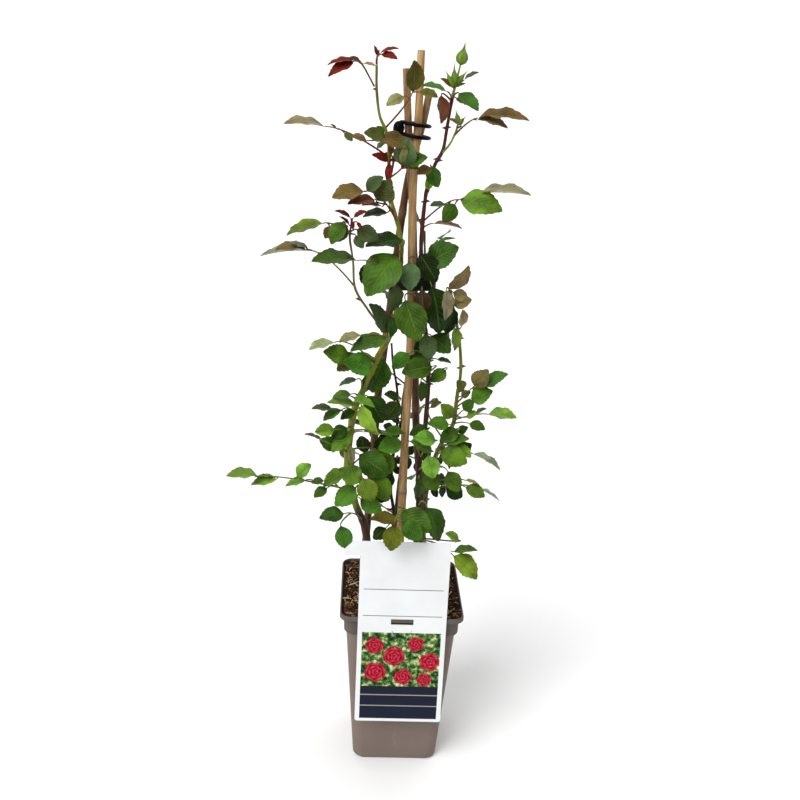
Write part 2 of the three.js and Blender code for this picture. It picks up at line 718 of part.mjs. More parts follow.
// Each leaf: where it leaves its stem (a height, or a point on an older leaf's
// stalk), where its end leaflet starts and ends, its number of leaflets, and the
// way it faces.
const LEAVES = {
  stem_left: [
    [783, [-16, -40, 822], [-13, -46, 852], 1, 75, 32],
    [[-18.8, -37.7, 815.2], [-25, -38, 817], [-43, -44, 809], 1, 45, 0],
    [[-16.1, -39.9, 821.6], [-10, -42, 822], [10, -47, 821], 1, 25, 0],
    [774, [-42, -42, 774], [-63, -52, 782], 1, 45, 0],
    [[-39.8, -38.3, 773.9], [-62, -52, 772], [-77, -57, 778], 1, 30, 0],
    [774, [-48, -40, 776], [-17, -51, 769], 1, 34, 0],
    [774, [-44, -38, 778], [-51, -42, 786], 1, 60, 0],
    [753, [-105, -62, 785], [-145, -70, 793], 1, 2, 0],
    [[-89.7, -56.4, 782.3], [-93, -58, 783], [-99, -60, 788], 1, 20, 0],
    [[-87.4, -55.3, 781.5], [-85, -56, 779], [-76, -59, 772], 1, 40, 0],
    [[-54.7, -35.4, 764.9], [-51, -38, 763], [-41, -41, 773], 1, 30, 0],
    [731, [-23, -40, 746], [-18, -51, 774], 1, 70, 0],
    [[-23.4, -39.3, 744.9], [-19, -42, 749], [1, -49, 759], 1, 50, 0],
    [[-25.6, -35.8, 741.4], [-24, -38, 743], [-6, -42, 747], 1, 10, 0],
    [[-23.6, -38.9, 744.5], [-24, -44, 749], [-20, -50, 767], 1, 75, 45],
    [683, [-63, -54, 720], [-96, -62, 718], 1, 22, 0],
    [[-62.3, -53.8, 720.1], [-60, -50, 720], [-45, -53, 737], 1, 40, 0],
    [[-38.1, -34.2, 704.6], [-49, -46, 710], [-35, -52, 732], 1, 50, 20],
    [[-48.0, -44.8, 715.3], [-51, -48, 711], [-79, -60, 711], 1, 25, 0],
    [[-40.4, -37.0, 707.6], [-43, -46, 704], [-64, -56, 709], 1, 12, 0],
    [[-34.2, -29.1, 698.9], [-37, -40, 697], [-63, -49, 696], 1, 20, 0],
    [694, [-35, -32, 705], [-32, -36, 723], 1, 70, 50],
    [652, [-20, -34, 667], [-58, -53, 667], 1, 28, 0],
    [638, [-26, -46, 653], [-57, -71, 615], 1, 60, -8],
    [[-21.5, -35.1, 653.5], [-49, -40, 639], [-63, -47, 621], 1, 60, 0],
    [629, [-25, -50, 621], [-25, -57, 592], 1, 75, 45],
    [631, [-68, -72, 650], [-114, -83, 657], 1, 8, 0],
    [543, [-33, -44, 565], [-48, -55, 600], 1, 70, 60],
    [572, [-27, -36, 581], [-25, -43, 559], 1, 75, 40],
    [542, [-33, -50, 560], [-72, -65, 553], 1, 22, 0],
    [[-30.4, -47.4, 560.3], [-61, -52, 563], [-85, -60, 560], 1, 5, 0],
    [523, [-73, -62, 539], [-99, -73, 550], 1, 52, 0],
    [523, [-63, -52, 540], [-86, -64, 526], 1, 55, 0],
    [518, [-47, -64, 530], [-77, -78, 541], 1, 54, 0],
    [530, [-34, -12, 524], [-47, -24, 487], 1, 70, -10],
    [511, [-50, -20, 508], [-54, -27, 487], 1, 70, 30],
    [482, [-64, -50, 511], [-84, -57, 507], 1, 10, 0],
    [478, [-70, -56, 495], [-90, -63, 495], 1, 22, 0],
    [478, [-67, -56, 491], [-42, -63, 486], 1, 15, 0],
    [468, [-60, -60, 481], [-94, -68, 494], 1, 2, 0],
    [473, [-58, -60, 484], [-42, -76, 453], 1, 60, -60],
    [463, [-65, -50, 473], [-81, -58, 467], 1, 30, 0],
    [480, [-51, -20, 481], [-31, -29, 452], 1, 60, 0],
    [434, [-55, -58, 451], [-21, -62, 453], 1, -4, 0],
    [441, [-30, -40, 446], [-8, -47, 449], 1, 25, 0],
    [410, [-58, -46, 418], [-24, -58, 399], 1, 60, 0],
    [417, [-35, -36, 417], [-19, -44, 395], 1, 60, 0],
    [423, [-71, -64, 436], [-64, -70, 413], 1, 70, 60],
    [429, [-67, -56, 448], [-91, -68, 432], 1, 18, 0],
    [439, [-73, -52, 453], [-91, -58, 445], 1, 45, 0],
    [437, [-87, -60, 453], [-108, -68, 455], 1, 40, 0],
    [424, [-74, -54, 439], [-93, -60, 436], 1, 45, 0],
    [414, [-100, -64, 441], [-119, -68, 453], 1, -2, 0],
    [453, [-90, -68, 481], [-112, -75, 486], 1, 15, 0],
    [461, [-80, -62, 478], [-101, -69, 470], 1, 8, 0],
    [373, [-54, -62, 394], [-79, -72, 410], 1, 60, 0],
    [373, [-53, -66, 397], [-41, -76, 373], 1, 68, -10],
    [381, [-74, -56, 401], [-100, -64, 387], 1, 18, 0],
    [362, [-61, -58, 382], [-84, -70, 364], 1, 65, 0],
    [351, [-55, -52, 365], [-30, -62, 354], 1, 60, 0],
    [381, [-39, -48, 393], [-22, -59, 366], 1, 60, 0],
    [322, [-74, -60, 349], [-101, -70, 350], 1, 30, 0],
    [[-65.5, -52.7, 346.7], [-77, -58, 332], [-68, -68, 306], 1, 72, 0],
    [365, [-173, -66, 396], [-207, -71, 403], 1, -4, 0],
    [[-150.8, -60.6, 393.5], [-152, -64, 392], [-181, -69, 390], 1, 16, 0],
    [[-152.5, -61.1, 393.9], [-156, -62, 394], [-177, -64, 397], 1, -6, 0],
    [[-133.5, -55.0, 389.2], [-129, -60, 394], [-115, -60, 411], 1, 30, 0],
    [[-105.7, -44.6, 380.3], [-119, -62, 391], [-142, -67, 388], 1, 12, 0],
    [[-81.3, -34.7, 371.1], [-98, -60, 390], [-112, -63, 390], 1, 20, 0],
    [[-84.2, -35.9, 372.2], [-94, -60, 381], [-109, -68, 374], 1, 30, 0],
    [392, [-41, -8, 410], [-19, -16, 425], 3, 65, 0],
    [354, [-42, -6, 353], [-20, -13, 347], 3, 65, 0],
    [429, [-85, -14, 414], [-104, -21, 425], 3, 60, 0],
    [521, [-90, -64, 557], [-117, -74, 555], 1, 2, 0],
  ],
  stem_flowering: [
    [317, [-12, -92, 357], [-42, -99, 366], 1, 14, 0],
    [317, [-16, -98, 355], [-19, -109, 327], 1, 68, 0],
    [324, [-7, -66, 356], [27, -83, 342], 1, 62, 0],
    [314, [-7, -86, 352], [18, -96, 337], 1, 50, 0],
    [337, [24, -52, 356], [43, -63, 319], 1, 60, 35],
    [320, [-25, -86, 345], [-39, -93, 334], 1, 60, 0],
    [815, [21, -20, 823], [-4, -31, 832], 1, 20, 0],
    [813, [15, -24, 819], [19, -33, 792], 1, 75, 45],
    [816, [34, -16, 822], [55, -31, 809], 1, 30, 0],
    [817, [31, -20, 817], [43, -27, 813], 1, 30, 0],
    [738, [8, -28, 746], [15, -35, 725], 1, 70, -30],
    [714, [8, -18, 720], [6, -22, 733], 1, 70, 30],
    [684, [43, -22, 711], [86, -39, 708], 1, 46, 0],
    [[42.5, -21.8, 711.1], [64, -18, 719], [118, -22, 728], 1, 0, 0],
    [[32.0, -18.5, 708.8], [28, -16, 704], [10, -21, 706], 1, 12, 0],
    [[39.7, -20.8, 711.2], [37, -20, 706], [25, -29, 688], 1, 60, 20],
    [677, [15, -14, 683], [46, -22, 685], 1, 2, 0],
    [634, [11, -16, 640], [41, -27, 661], 1, 60, 0],
    [648, [1, -22, 650], [22, -31, 622], 1, 62, 0],
    [639, [-11, -44, 645], [-9, -55, 616], 1, 70, 0],
    [587, [4, -44, 614], [7, -52, 590], 1, 76, 0],
    [635, [16, -30, 615], [31, -43, 567], 1, 70, 30],
    [592, [-14, -56, 605], [2, -69, 563], 1, 66, -8],
    [557, [10, -40, 563], [19, -50, 537], 1, 60, 20],
    [550, [19, -26, 558], [41, -38, 544], 1, 52, 0],
    [541, [7, -20, 551], [6, -27, 533], 1, 70, 20],
    [508, [20, -50, 529], [-13, -62, 527], 1, 46, 0],
    [521, [19, -36, 532], [-9, -45, 538], 1, 14, 0],
    [525, [-6, -40, 540], [-25, -49, 526], 1, 46, 0],
    [504, [37, -36, 521], [20, -45, 510], 1, 60, 0],
    [523, [27, -24, 530], [43, -31, 530], 1, 14, 0],
    [493, [10, -24, 503], [14, -30, 480], 1, 75, 50],
    [433, [21, -26, 446], [0, -35, 442], 1, 45, 0],
    [418, [30, -38, 436], [6, -48, 444], 1, 40, 0],
    [402, [-10, -50, 437], [-36, -61, 433], 1, 50, 0],
    [408, [27, -34, 421], [4, -42, 438], 1, 25, 0],
    [400, [22, -44, 419], [29, -54, 394], 1, 70, 0],
    [384, [21, -32, 394], [36, -40, 373], 1, 64, 0],
    [371, [14, -26, 382], [14, -33, 356], 1, 70, 40],
    [738, [8, -34, 745], [-7, -44, 741], 1, 44, 0],
  ],
  stem_middle: [
    [471, [-14, -28, 478], [-30, -38, 459], 1, 62, 0],
    [476, [-15, -20, 480], [-30, -28, 488], 1, 40, 0],
    [381, [-15, -30, 409], [-28, -39, 395], 1, 60, 0],
    [400, [-19, -12, 383], [-28, -19, 362], 5, 66, 0],
  ],
  stem_right: [
    [563, [37, -20, 611], [58, -32, 637], 1, 70, 45],
    [[35.9, -12.4, 597.0], [42, -20, 594], [60, -29, 603], 1, 60, 0],
    [[35.8, -18.7, 608.8], [41, -20, 608], [58, -26, 602], 1, 60, 0],
    [[36.7, -19.8, 610.6], [32, -36, 614], [35, -49, 583], 1, 75, 48],
    [558, [54, -10, 566], [56, -16, 586], 1, 70, 40],
    [563, [46, -14, 565], [50, -21, 540], 1, 75, 45],
    [601, [39, -8, 589], [40, -16, 557], 1, 75, 40],
    [483, [62, -10, 490], [54, -16, 502], 1, 60, 0],
    [476, [59, -12, 482], [68, -18, 490], 1, 60, 0],
    [468, [72, -24, 499], [84, -34, 521], 1, 60, 0],
    [[69.5, -21.4, 495.4], [83, -24, 500], [106, -32, 520], 1, 28, 0],
    [463, [70, -20, 482], [91, -31, 496], 1, 60, 0],
    [448, [62, -18, 467], [72, -25, 481], 1, 60, 0],
    [448, [91, -24, 465], [123, -30, 469], 1, 6, 0],
    [[74.8, -16.2, 460.8], [76, -22, 465], [87, -26, 474], 1, 20, 0],
    [453, [66, -20, 459], [78, -25, 468], 1, 32, 0],
    [443, [70, -20, 451], [88, -28, 449], 1, 34, 0],
    [427, [58, -18, 439], [67, -24, 448], 1, 50, 0],
    [448, [50, -14, 456], [37, -23, 474], 1, 60, 0],
    [437, [45, -30, 453], [21, -38, 458], 1, 40, 0],
    [432, [57, -26, 445], [35, -33, 433], 1, 42, 0],
    [414, [43, -30, 428], [67, -36, 442], 1, 8, 0],
    [405, [37, -34, 421], [68, -44, 412], 1, 60, 0],
    [408, [56, -30, 425], [74, -36, 417], 1, 30, 0],
    [394, [77, -20, 413], [112, -27, 402], 1, -12, 0],
    [375, [47, -34, 395], [61, -44, 374], 1, 66, 0],
    [361, [69, -28, 382], [86, -32, 381], 1, 4, 0],
    [356, [70, -30, 374], [93, -38, 368], 1, 36, 0],
    [353, [88, -26, 370], [113, -32, 362], 1, -8, 0],
    [287, [63, -58, 318], [48, -64, 330], 1, 34, 0],
    [284, [57, -68, 308], [82, -76, 318], 1, 8, 0],
    [284, [57, -70, 303], [87, -83, 284], 1, 46, 38],
    [422, [23, -18, 469], [34, -23, 479], 1, 24, 0],
    [405, [58, 20, 394], [79, 20, 410], 5, 60, 0],
    [356, [51, 18, 353], [74, 18, 339], 5, 60, 0],
  ],
  shoot_left: [
    [678, [-105, -68, 687], [-143, -76, 680], 1, 14, 0],
    [[-100.0, -66.9, 687.6], [-98, -66, 684], [-101, -72, 672], 1, 62, 30],
    [[-79.3, -62.5, 679.8], [-84, -66, 689], [-96, -76, 668], 1, 64, -10],
    [[-88.8, -64.6, 684.5], [-79, -66, 684], [-89, -72, 670], 1, 50, -10],
    [676, [-70, -64, 675], [-62, -70, 663], 1, 60, -10],
    [678, [-69, -62, 681], [-46, -69, 673], 1, 56, 0],
    [615, [-122, -52, 655], [-171, -57, 656], 1, 0, 0],
    [[-119.7, -51.7, 655.1], [-123, -52, 656], [-155, -54, 660], 1, 4, 0],
    [[-116.5, -51.3, 654.7], [-120, -52, 656], [-140, -52, 666], 1, 4, 0],
  ],
  young_tip_left: [
    [854, [-51, -24, 858], [-35, -31, 868], 1, 20, 0],
    [854, [-50, -26, 857], [-35, -38, 858], 1, 40, 0],
    [853, [-54, -22, 856], [-56, -26, 865], 1, 70, 20],
  ],
  young_leaf_left: [
    [847, [-77, -38, 850], [-103, -48, 852], 1, 20, 0],
    [[-74.5, -36.4, 849.7], [-78, -38, 849], [-102, -54, 840], 1, 45, 0],
    [[-71.3, -33.3, 848.0], [-68, -36, 847], [-56, -39, 849], 1, 20, 0],
    [[-70.5, -32.5, 847.5], [-71, -36, 849], [-80, -42, 855], 1, 40, 0],
  ],
  young_shoot: [
    [753, [-38, -34, 751], [-52, -46, 759], 1, 58, 0],
    [753, [-33, -32, 751], [-21, -38, 756], 1, 55, 0],
    [751, [-37, -34, 748], [-37, -42, 732], 1, 75, 20],
    [751, [-35, -32, 757], [-36, -38, 769], 1, 70, 0],
    [750, [-32, -32, 757], [-26, -37, 767], 1, 60, 0],
  ],
  young_tip_shoot: [
    [687, [-76, -68, 694], [-89, -76, 705], 1, 30, 0],
    [686, [-73, -68, 694], [-63, -75, 705], 1, 30, 0],
    [685, [-77, -66, 686], [-84, -74, 697], 1, 40, 30],
    [687, [-69, -70, 690], [-64, -76, 685], 1, 60, 0],
    [687, [-74, -70, 691], [-73, -76, 684], 1, 70, 0],
  ],
  bud_cluster: [
    [827, [26, -10, 828], [17, -18, 837], 1, 50, 0],
    [827, [30, -12, 827], [38, -17, 834], 1, 30, 0],
    [831, [39, -12, 835], [50, -17, 847], 1, 20, 0],
  ],
  bud_spray: [
    [786, [38, -20, 789], [27, -28, 798], 1, 40, 0],
    [778, [55, -26, 798], [103, -38, 813], 1, 12, 0],
    [[50.5, -24.4, 796.4], [54, -26, 796], [85, -36, 799], 1, 16, 0],
  ],
  stem_back: [
    [300, [-28, 77, 297], [-40, 98, 296], 3, -50, 0],
    [345, [33, 75, 350], [52, 90, 352], 5, -40, 0],
    [392, [-47, 78, 405], [-66, 92, 410], 3, -45, 0],
    [430, [25, 82, 437], [40, 100, 440], 5, -50, 0],
    [478, [-42, 76, 493], [-58, 92, 500], 3, -50, 0],
    [520, [33, 69, 527], [48, 88, 530], 5, -40, 0],
    [570, [-34, 67, 584], [-50, 84, 590], 3, -45, 0],
    [636, [30, 60, 653], [40, 80, 662], 5, -40, 0],
    [660, [-2, 59, 686], [-8, 78, 700], 3, -50, 0],
    [382, [23, 34, 375], [40, 28, 354], 5, 62, 0],
    [430, [-20, 36, 416], [-33, 30, 396], 5, 62, 0],
  ],
};

function stemBar(stem, extra = 0, sides = 5) {
  const curve = curveThrough(stem.line);
  const [low, high] = stem.radius;
  const radiusAt = (place) => low + (high - low) * place ** 0.8 + extra;
  return solid(sweep(curve, radiusAt, sides, evenPlaces(stem.line.length)));
}

// A hooked thorn: its foot's radius, its length from the middle of the stem, how
// much narrower and deeper than round its foot is, and how far it points down.
const THORN = { radius: 1.7, length: 6.8, narrow: 0.55, deep: 1.3, droop: 0.25 };

// It is a flat pyramid with its foot sunk in the stem.
function thorn(centre, degrees) {
  const angle = THREE.MathUtils.degToRad(degrees);
  const out = new THREE.Vector3(Math.cos(angle), Math.sin(angle), -THORN.droop);
  const { along, across, face } = frameAlong(out, new THREE.Vector3(0, 0, 1));
  const geometry = new THREE.ConeGeometry(THORN.radius, THORN.length, 3);
  geometry.scale(THORN.narrow, 1, THORN.deep);
  geometry.translate(0, THORN.length / 2, 0);
  geometry.applyMatrix4(new THREE.Matrix4().makeBasis(across, along, face).setPosition(centre));
  return solid(geometry);
}

// The outline of a bud from its foot to its closed point: how far out and how far up.
const BUD_PROFILE = [[0, 0], [0.7, 0.08], [1, 0.3], [0.82, 0.48], [0.26, 0.7], [0, 1]];

function bud(foot, point, radius) {
  const start = new THREE.Vector3(...foot);
  const reach = new THREE.Vector3(...point).sub(start);
  const length = reach.length();
  const profile = BUD_PROFILE.map(([out, up]) => new THREE.Vector2(out * radius, up * length));
  const geometry = new THREE.LatheGeometry(profile, 6);
  const turn = new THREE.Quaternion().setFromUnitVectors(new THREE.Vector3(0, 1, 0), reach.normalize());
  geometry.applyQuaternion(turn);
  geometry.translate(start.x, start.y, start.z);
  return solid(geometry);
}

// A stem or shoot with its thorns, leaves and buds, all one piece.
function makeGrowth(name, stem, style, material) {
  const curve = curveThrough(stem.line);
  const at = (place) => (Array.isArray(place)
    ? new THREE.Vector3(...place)
    : curve.getPoint(placeAtHeight(curve, place)));
  const thorns = stem.thorns.map(([height, degrees]) => thorn(at(height), degrees));
  const isOnStalk = (row) => Array.isArray(LEAVES[name][row]?.[0]);
  const leaves = LEAVES[name].map(([place, foot, tip, leaflets, face, lean], row) => roseLeaf(
    at(place), new THREE.Vector3(...foot), new THREE.Vector3(...tip), leaflets,
    facing(face, lean), style, row * 10, !isOnStalk(row) && isOnStalk(row + 1)));
  const buds = (BUDS[name] ?? []).map(([foot, point, radius]) => bud(foot, point, radius));
  return meshOf(name, join([stemBar(stem), ...thorns, ...leaves, ...buds]), material);
}

function makeShoot(name) {
  if (name.startsWith('young')) return makeGrowth(name, SHOOTS[name], YOUNG, redLeaf);
  if (name.startsWith('bud')) return makeGrowth(name, SHOOTS[name], YOUNG, budGreen);
  return makeGrowth(name, SHOOTS[name], MATURE, greenLeaf);
}

// ------------------------------------------------------------------ the soil

function makeSoil() {
  const { top, bottom, grid, lump } = SOIL;
  const width = POT.lipWidth;
  const block = new THREE.BoxGeometry(width, width, top - bottom, grid, grid, 1);
  block.translate(0, 0, (top + bottom) / 2);
  const position = block.attributes.position;
  for (let i = 0; i < position.count; i += 1) {
    if (position.getZ(i) < top - 0.01) continue;
    const x = position.getX(i);
    const y = position.getY(i);
    const relief = Math.sin(x * 0.31 + y * 0.12) * Math.sin(y * 0.27 - x * 0.09)
      + 0.6 * Math.sin(x * 0.9 + 1.3) * Math.sin(y * 0.8);
    position.setZ(i, top + lump * relief);
  }
  const sleeve = GAP * 2;
  const ledge = lipFoot + POT.wall;
  const cornerAtCollar = (POT.cornerBase - POT.wall) * innerWidthAt(collarFoot) / innerWidthAt(bottom);
  const mould = [
    taperedBlock(bottom, collarFoot + 2, innerWidthAt(bottom) - sleeve,
      innerWidthAt(collarFoot + 2) - sleeve, POT.cornerBase - POT.wall),
    taperedBlock(collarFoot + 1.5, top, innerWidthAt(collarFoot) - sleeve,
      innerWidthAt(collarFoot) - sleeve, cornerAtCollar),
    taperedBlock(ledge + GAP, top + 3 * lump, lipInnerWidth - sleeve, lipInnerWidth - sleeve,
      POT.cornerTop - POT.wall),
  ];
  let soil = solid(block).intersect(join(mould.map(solid)));
  for (const cane of Object.values(CANES)) soil = soil.subtract(caneBar(cane, GAP));
  for (const stem of Object.values(STEMS)) soil = soil.subtract(stemBar(stem, GAP));
  return meshOf('soil', soil, peat);
}

// -------------------------------------------------------------- the assembly

const rose = new THREE.Group();
rose.add(makePot());
rose.add(makeSoil());
Object.keys(CANES).forEach((name) => rose.add(meshOf(name, caneBar(CANES[name]), bamboo)));
rose.add(makeTopTie());
rose.add(makeBand());
rose.add(makeLabel());
Object.keys(STEMS).forEach((name) => rose.add(makeGrowth(name, STEMS[name], MATURE, greenLeaf)));
Object.keys(SHOOTS).forEach((name) => rose.add(makeShoot(name)));

export default rose;
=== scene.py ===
"""A climbing rose in a square nursery pot, trained up three bamboo canes."""

import math

import bpy
import numpy as np
from mathutils import Matrix, Vector


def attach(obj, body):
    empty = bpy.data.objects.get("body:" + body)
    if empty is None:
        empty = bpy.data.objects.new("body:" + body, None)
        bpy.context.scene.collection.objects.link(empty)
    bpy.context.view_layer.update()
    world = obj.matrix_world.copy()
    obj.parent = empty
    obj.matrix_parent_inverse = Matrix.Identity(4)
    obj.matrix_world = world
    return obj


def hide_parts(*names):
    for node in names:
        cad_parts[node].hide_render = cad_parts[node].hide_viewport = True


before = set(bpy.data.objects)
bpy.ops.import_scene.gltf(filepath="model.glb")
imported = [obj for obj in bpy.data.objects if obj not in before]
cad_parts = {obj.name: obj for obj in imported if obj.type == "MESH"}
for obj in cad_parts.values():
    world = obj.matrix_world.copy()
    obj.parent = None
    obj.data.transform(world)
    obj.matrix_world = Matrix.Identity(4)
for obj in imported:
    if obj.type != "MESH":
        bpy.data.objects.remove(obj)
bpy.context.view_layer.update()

# ------------------------------------------------------------------ camera

MM = 0.001

CAMERA_PLACE = Vector((-62.8, -1129.0, 860.3)) * MM
CAMERA_AHEAD = Vector((0.0425, 0.9444, -0.3259))
CAMERA_UP = Vector((-0.0333, 0.3274, 0.9443))
CAMERA_LENS = 45.39              # millimetres, as is the width of its sensor
SENSOR_WIDTH = 36.0
CAMERA_REACH = 20                # metres


def set_camera():
    data = bpy.data.cameras.new("camera")
    data.lens = CAMERA_LENS
    data.sensor_width = SENSOR_WIDTH
    data.clip_end = CAMERA_REACH
    camera = bpy.data.objects.new("camera", data)
    bpy.context.scene.collection.objects.link(camera)
    back = -CAMERA_AHEAD.normalized()
    right = CAMERA_UP.cross(back).normalized()
    up = back.cross(right)
    turn = Matrix((right, up, back)).transposed()
    camera.matrix_world = Matrix.Translation(CAMERA_PLACE) @ turn.to_4x4()
    bpy.context.scene.camera = camera


set_camera()

# ------------------------------------------------- measures of pot and canes
# Millimetres. The origin is the centre of the pot's underside and -Y is its front.

POT_HEIGHT = 220
BASE_WIDTH = 106
BODY_TOP_WIDTH = 134
COLLAR_WIDTH = 140
LIP_WIDTH = 150
LIP_HEIGHT = 7
COLLAR_HEIGHT = 20
LIP_FOOT = POT_HEIGHT - LIP_HEIGHT
COLLAR_FOOT = LIP_FOOT - COLLAR_HEIGHT
WALL = 2.2
FLOOR_THICKNESS = 3
BODY_CORNER = 13
COLLAR_CORNER = 11
CORNER_STEPS = 8
DRAIN_RADIUS = 5
DRAIN_SIDES = 24
DRAIN_OFFSET = 30
SOIL_TOP = 217

# Each cane: its line, the radii of its two ends and the heights of its joints.
CANES = {
    "cane_front": {
        "line": [(-6, -40, 30), (-6, -36, 205), (-5, -28, 334), (-5, -22, 429),
                 (-4, -16, 543), (-9, -8, 707), (-7, -3, 792), (-7, 3, 863)],
        "radius": (5.4, 4.1),
        "joints": (364, 575, 748),
    },
    "cane_right": {
        "line": [(33, 33, 30), (30, 28, 205), (22, 24, 324), (12, 20, 413),
                 (8, 18, 459), (-6, 8, 671), (-12, 3, 735), (-17, 1, 783), (-22, 4, 844)],
        "radius": (5.0, 4.0),
        "joints": (300, 456, 640),
    },
    "cane_left": {
        "line": [(-42, 34, 30), (-49, 30, 205), (-45, 26, 287), (-38, 20, 464),
                 (-34, 17, 515), (-29, 15, 570), (-19, 14, 687), (-12, 13, 740),
                 (-1, 7, 789), (4, 3, 821)],
        "radius": (4.9, 3.9),
        "joints": (330, 505, 690),
    },
}

TIE_CORD = 2.0                   # the cord's radius
TIE_HEIGHTS = (787, 774.5)
TIE_LOOP = [(-25.1, -0.1), (-18.4, -6.8), (-7, -10.8), (2.5, -5), (6.6, 5.1), (2, 14.3),
            (-7, 15.8), (-20.4, 9.8)]
TIE_SLOPE = 0.12                 # how fast each loop falls towards +X
TIE_LEVEL_AT = -10               # the x at which it is at its own height
TIE_LOOP_POINTS = 64
TIE_BALL = (-27.6, -3, 782.4)
TIE_BALL_RADIUS = 6.2
TIE_BALL_STRETCH = 1.24
TIE_BALL_ENDS = 0.93             # share of its half height from which its ends are flattened

BAND_CENTRE = (-7, 2.2)
BAND_HALF = (31, 21.8)
BAND_LOW = 607
BAND_HIGH = 619.5
BAND_THICKNESS = 1.6
BAND_SQUARENESS = 3.4
BAND_CROWN = 0.35                # how far the middle of its face stands out
BAND_EDGE = 0.4                  # how far its edges are rounded
BAND_POINTS = 72

# ------------------------------------------------------ the rose: its stems
# Each stem: its line, the radii of its two ends, and the heights of its thorns
# with the way that each points, where 0 degrees is +X and 90 is +Y.

STEMS = {
    "stem_left": {
        "line": [(-34, -12, 150), (-39, -13, 205), (-44, -15, 282), (-49, -18, 314), (-60, -25, 344),
                 (-70, -30, 379), (-72, -30, 404), (-70, -28, 435), (-65, -26, 468), (-56, -24, 490),
                 (-48, -22, 511), (-38, -20, 535), (-28, -16, 553), (-22, -14, 581), (-20, -12, 618),
                 (-19, -13, 652), (-23, -15, 676), (-30, -18, 697), (-35, -20, 718), (-37, -22, 745),
                 (-38, -24, 765), (-42, -24, 781), (-49, -22, 796), (-53, -20, 821), (-54, -18, 846)],
        "radius": (5.4, 1.3),
        "thorns": [(300, 200), (362, 170), (418, 190), (452, 350), (500, 150), (520, 320), (706, 190),
                   (757, 170), (822, 180)],
    },
    "stem_flowering": {
        "line": [(10, -4, 150), (12, -4, 205), (17, -5, 317), (15, -6, 358), (15, -6, 397),
                 (19, -6, 436), (20, -6, 474), (19, -6, 511), (14, -6, 553), (9, -8, 589),
                 (6, -10, 624), (3, -10, 652), (3, -12, 680), (4, -14, 703), (6, -14, 722),
                 (13, -12, 746), (21, -10, 762), (24, -10, 785), (27, -8, 809), (28, -8, 818)],
        "radius": (3.6, 1.7),
        "thorns": [(494, 350), (540, 20), (686, 185), (706, 190), (707, 350), (722, 0), (751, 350),
                   (752, 170), (785, 185), (786, 0)],
    },
    "stem_right": {
        "line": [(18, 8, 150), (20, 8, 205), (25, 5, 312), (27, 5, 367), (35, 2, 401), (41, 0, 418),
                 (49, 0, 432), (54, 0, 448), (55, 0, 473), (58, 2, 507), (55, 4, 540), (50, 4, 564),
                 (44, 4, 587), (40, 4, 605)],
        "radius": (3.4, 1.5),
        "thorns": [(340, 20), (462, 0), (512, 180), (514, 10), (548, 0)],
    },
    "stem_middle": {
        "line": [(-14, 8, 150), (-13, 6, 205), (-13, -3, 316), (-18, -2, 355), (-17, 0, 400),
                 (-14, 0, 445), (-16, 0, 483), (-22, 0, 514), (-25, 1, 540)],
        "radius": (2.6, 1.2),
        "thorns": [(330, 200), (490, 0), (520, 0)],
    },
    "stem_back": {
        "line": [(0, 30, 150), (-2, 32, 205), (-8, 42, 300), (-4, 46, 380), (-6, 40, 460), (4, 27, 540),
                 (10, 17, 613), (8, 26, 668)],
        "radius": (3.4, 1.3),
        "thorns": [(260, 100), (430, 130), (580, 60)],
    },
    "shoot_left": {
        "line": [(-31.4, -17.8, 553.4), (-42, -22, 569), (-55, -31, 588), (-69, -42, 613),
                 (-72, -52, 644), (-76, -60, 669), (-76, -62, 679)],
        "radius": (1.6, 1.1),
        "thorns": [(600, 190), (652, 100)],
    },
    "young_tip_left": {
        "line": [(-54.1, -18, 846.4), (-54, -18, 853), (-52, -20, 861)],
        "radius": (1.2, 0.9),
        "thorns": [],
    },
    "young_leaf_left": {
        "line": [(-55.8, -20.4, 825), (-66, -28, 842), (-72, -34, 850)],
        "radius": (1, 0.8),
        "thorns": [],
    },
    "young_shoot": {
        "line": [(-34.1, -24.1, 737), (-32.5, -26.5, 748), (-31.5, -28, 760)],
        "radius": (1.4, 1),
        "thorns": [],
    },
    "young_tip_shoot": {
        "line": [(-76, -62, 679.4), (-75.5, -63, 683), (-75, -65, 687)],
        "radius": (1.1, 0.9),
        "thorns": [],
    },
    "bud_cluster": {
        "line": [(28.1, -8, 818.4), (31, -8, 832), (35, -8, 853)],
        "radius": (1.7, 0.9),
        "thorns": [],
    },
    "bud_spray": {
        "line": [(26.3, -11.6, 766), (30, -13, 773), (34, -14, 784), (36, -14, 796)],
        "radius": (1.3, 1),
        "thorns": [],
    },
}

# Each bud: its foot, the point that its sepals close to, and its widest radius.
BUDS = {
    "bud_cluster": [
        ((34.6, -8, 850), (39, -8, 877), 6.2),
        ((28.5, -8.5, 827), (17, -10, 848), 3.4),
        ((29.5, -9.5, 829), (27, -14, 856), 3.6),
        ((30.5, -8, 830), (45, -8, 848), 3.2),
    ],
    "bud_spray": [
        ((36, -14, 791), (31, -14, 808), 2.8),
        ((35.5, -14, 789), (45, -15, 801), 2.6),
    ],
}

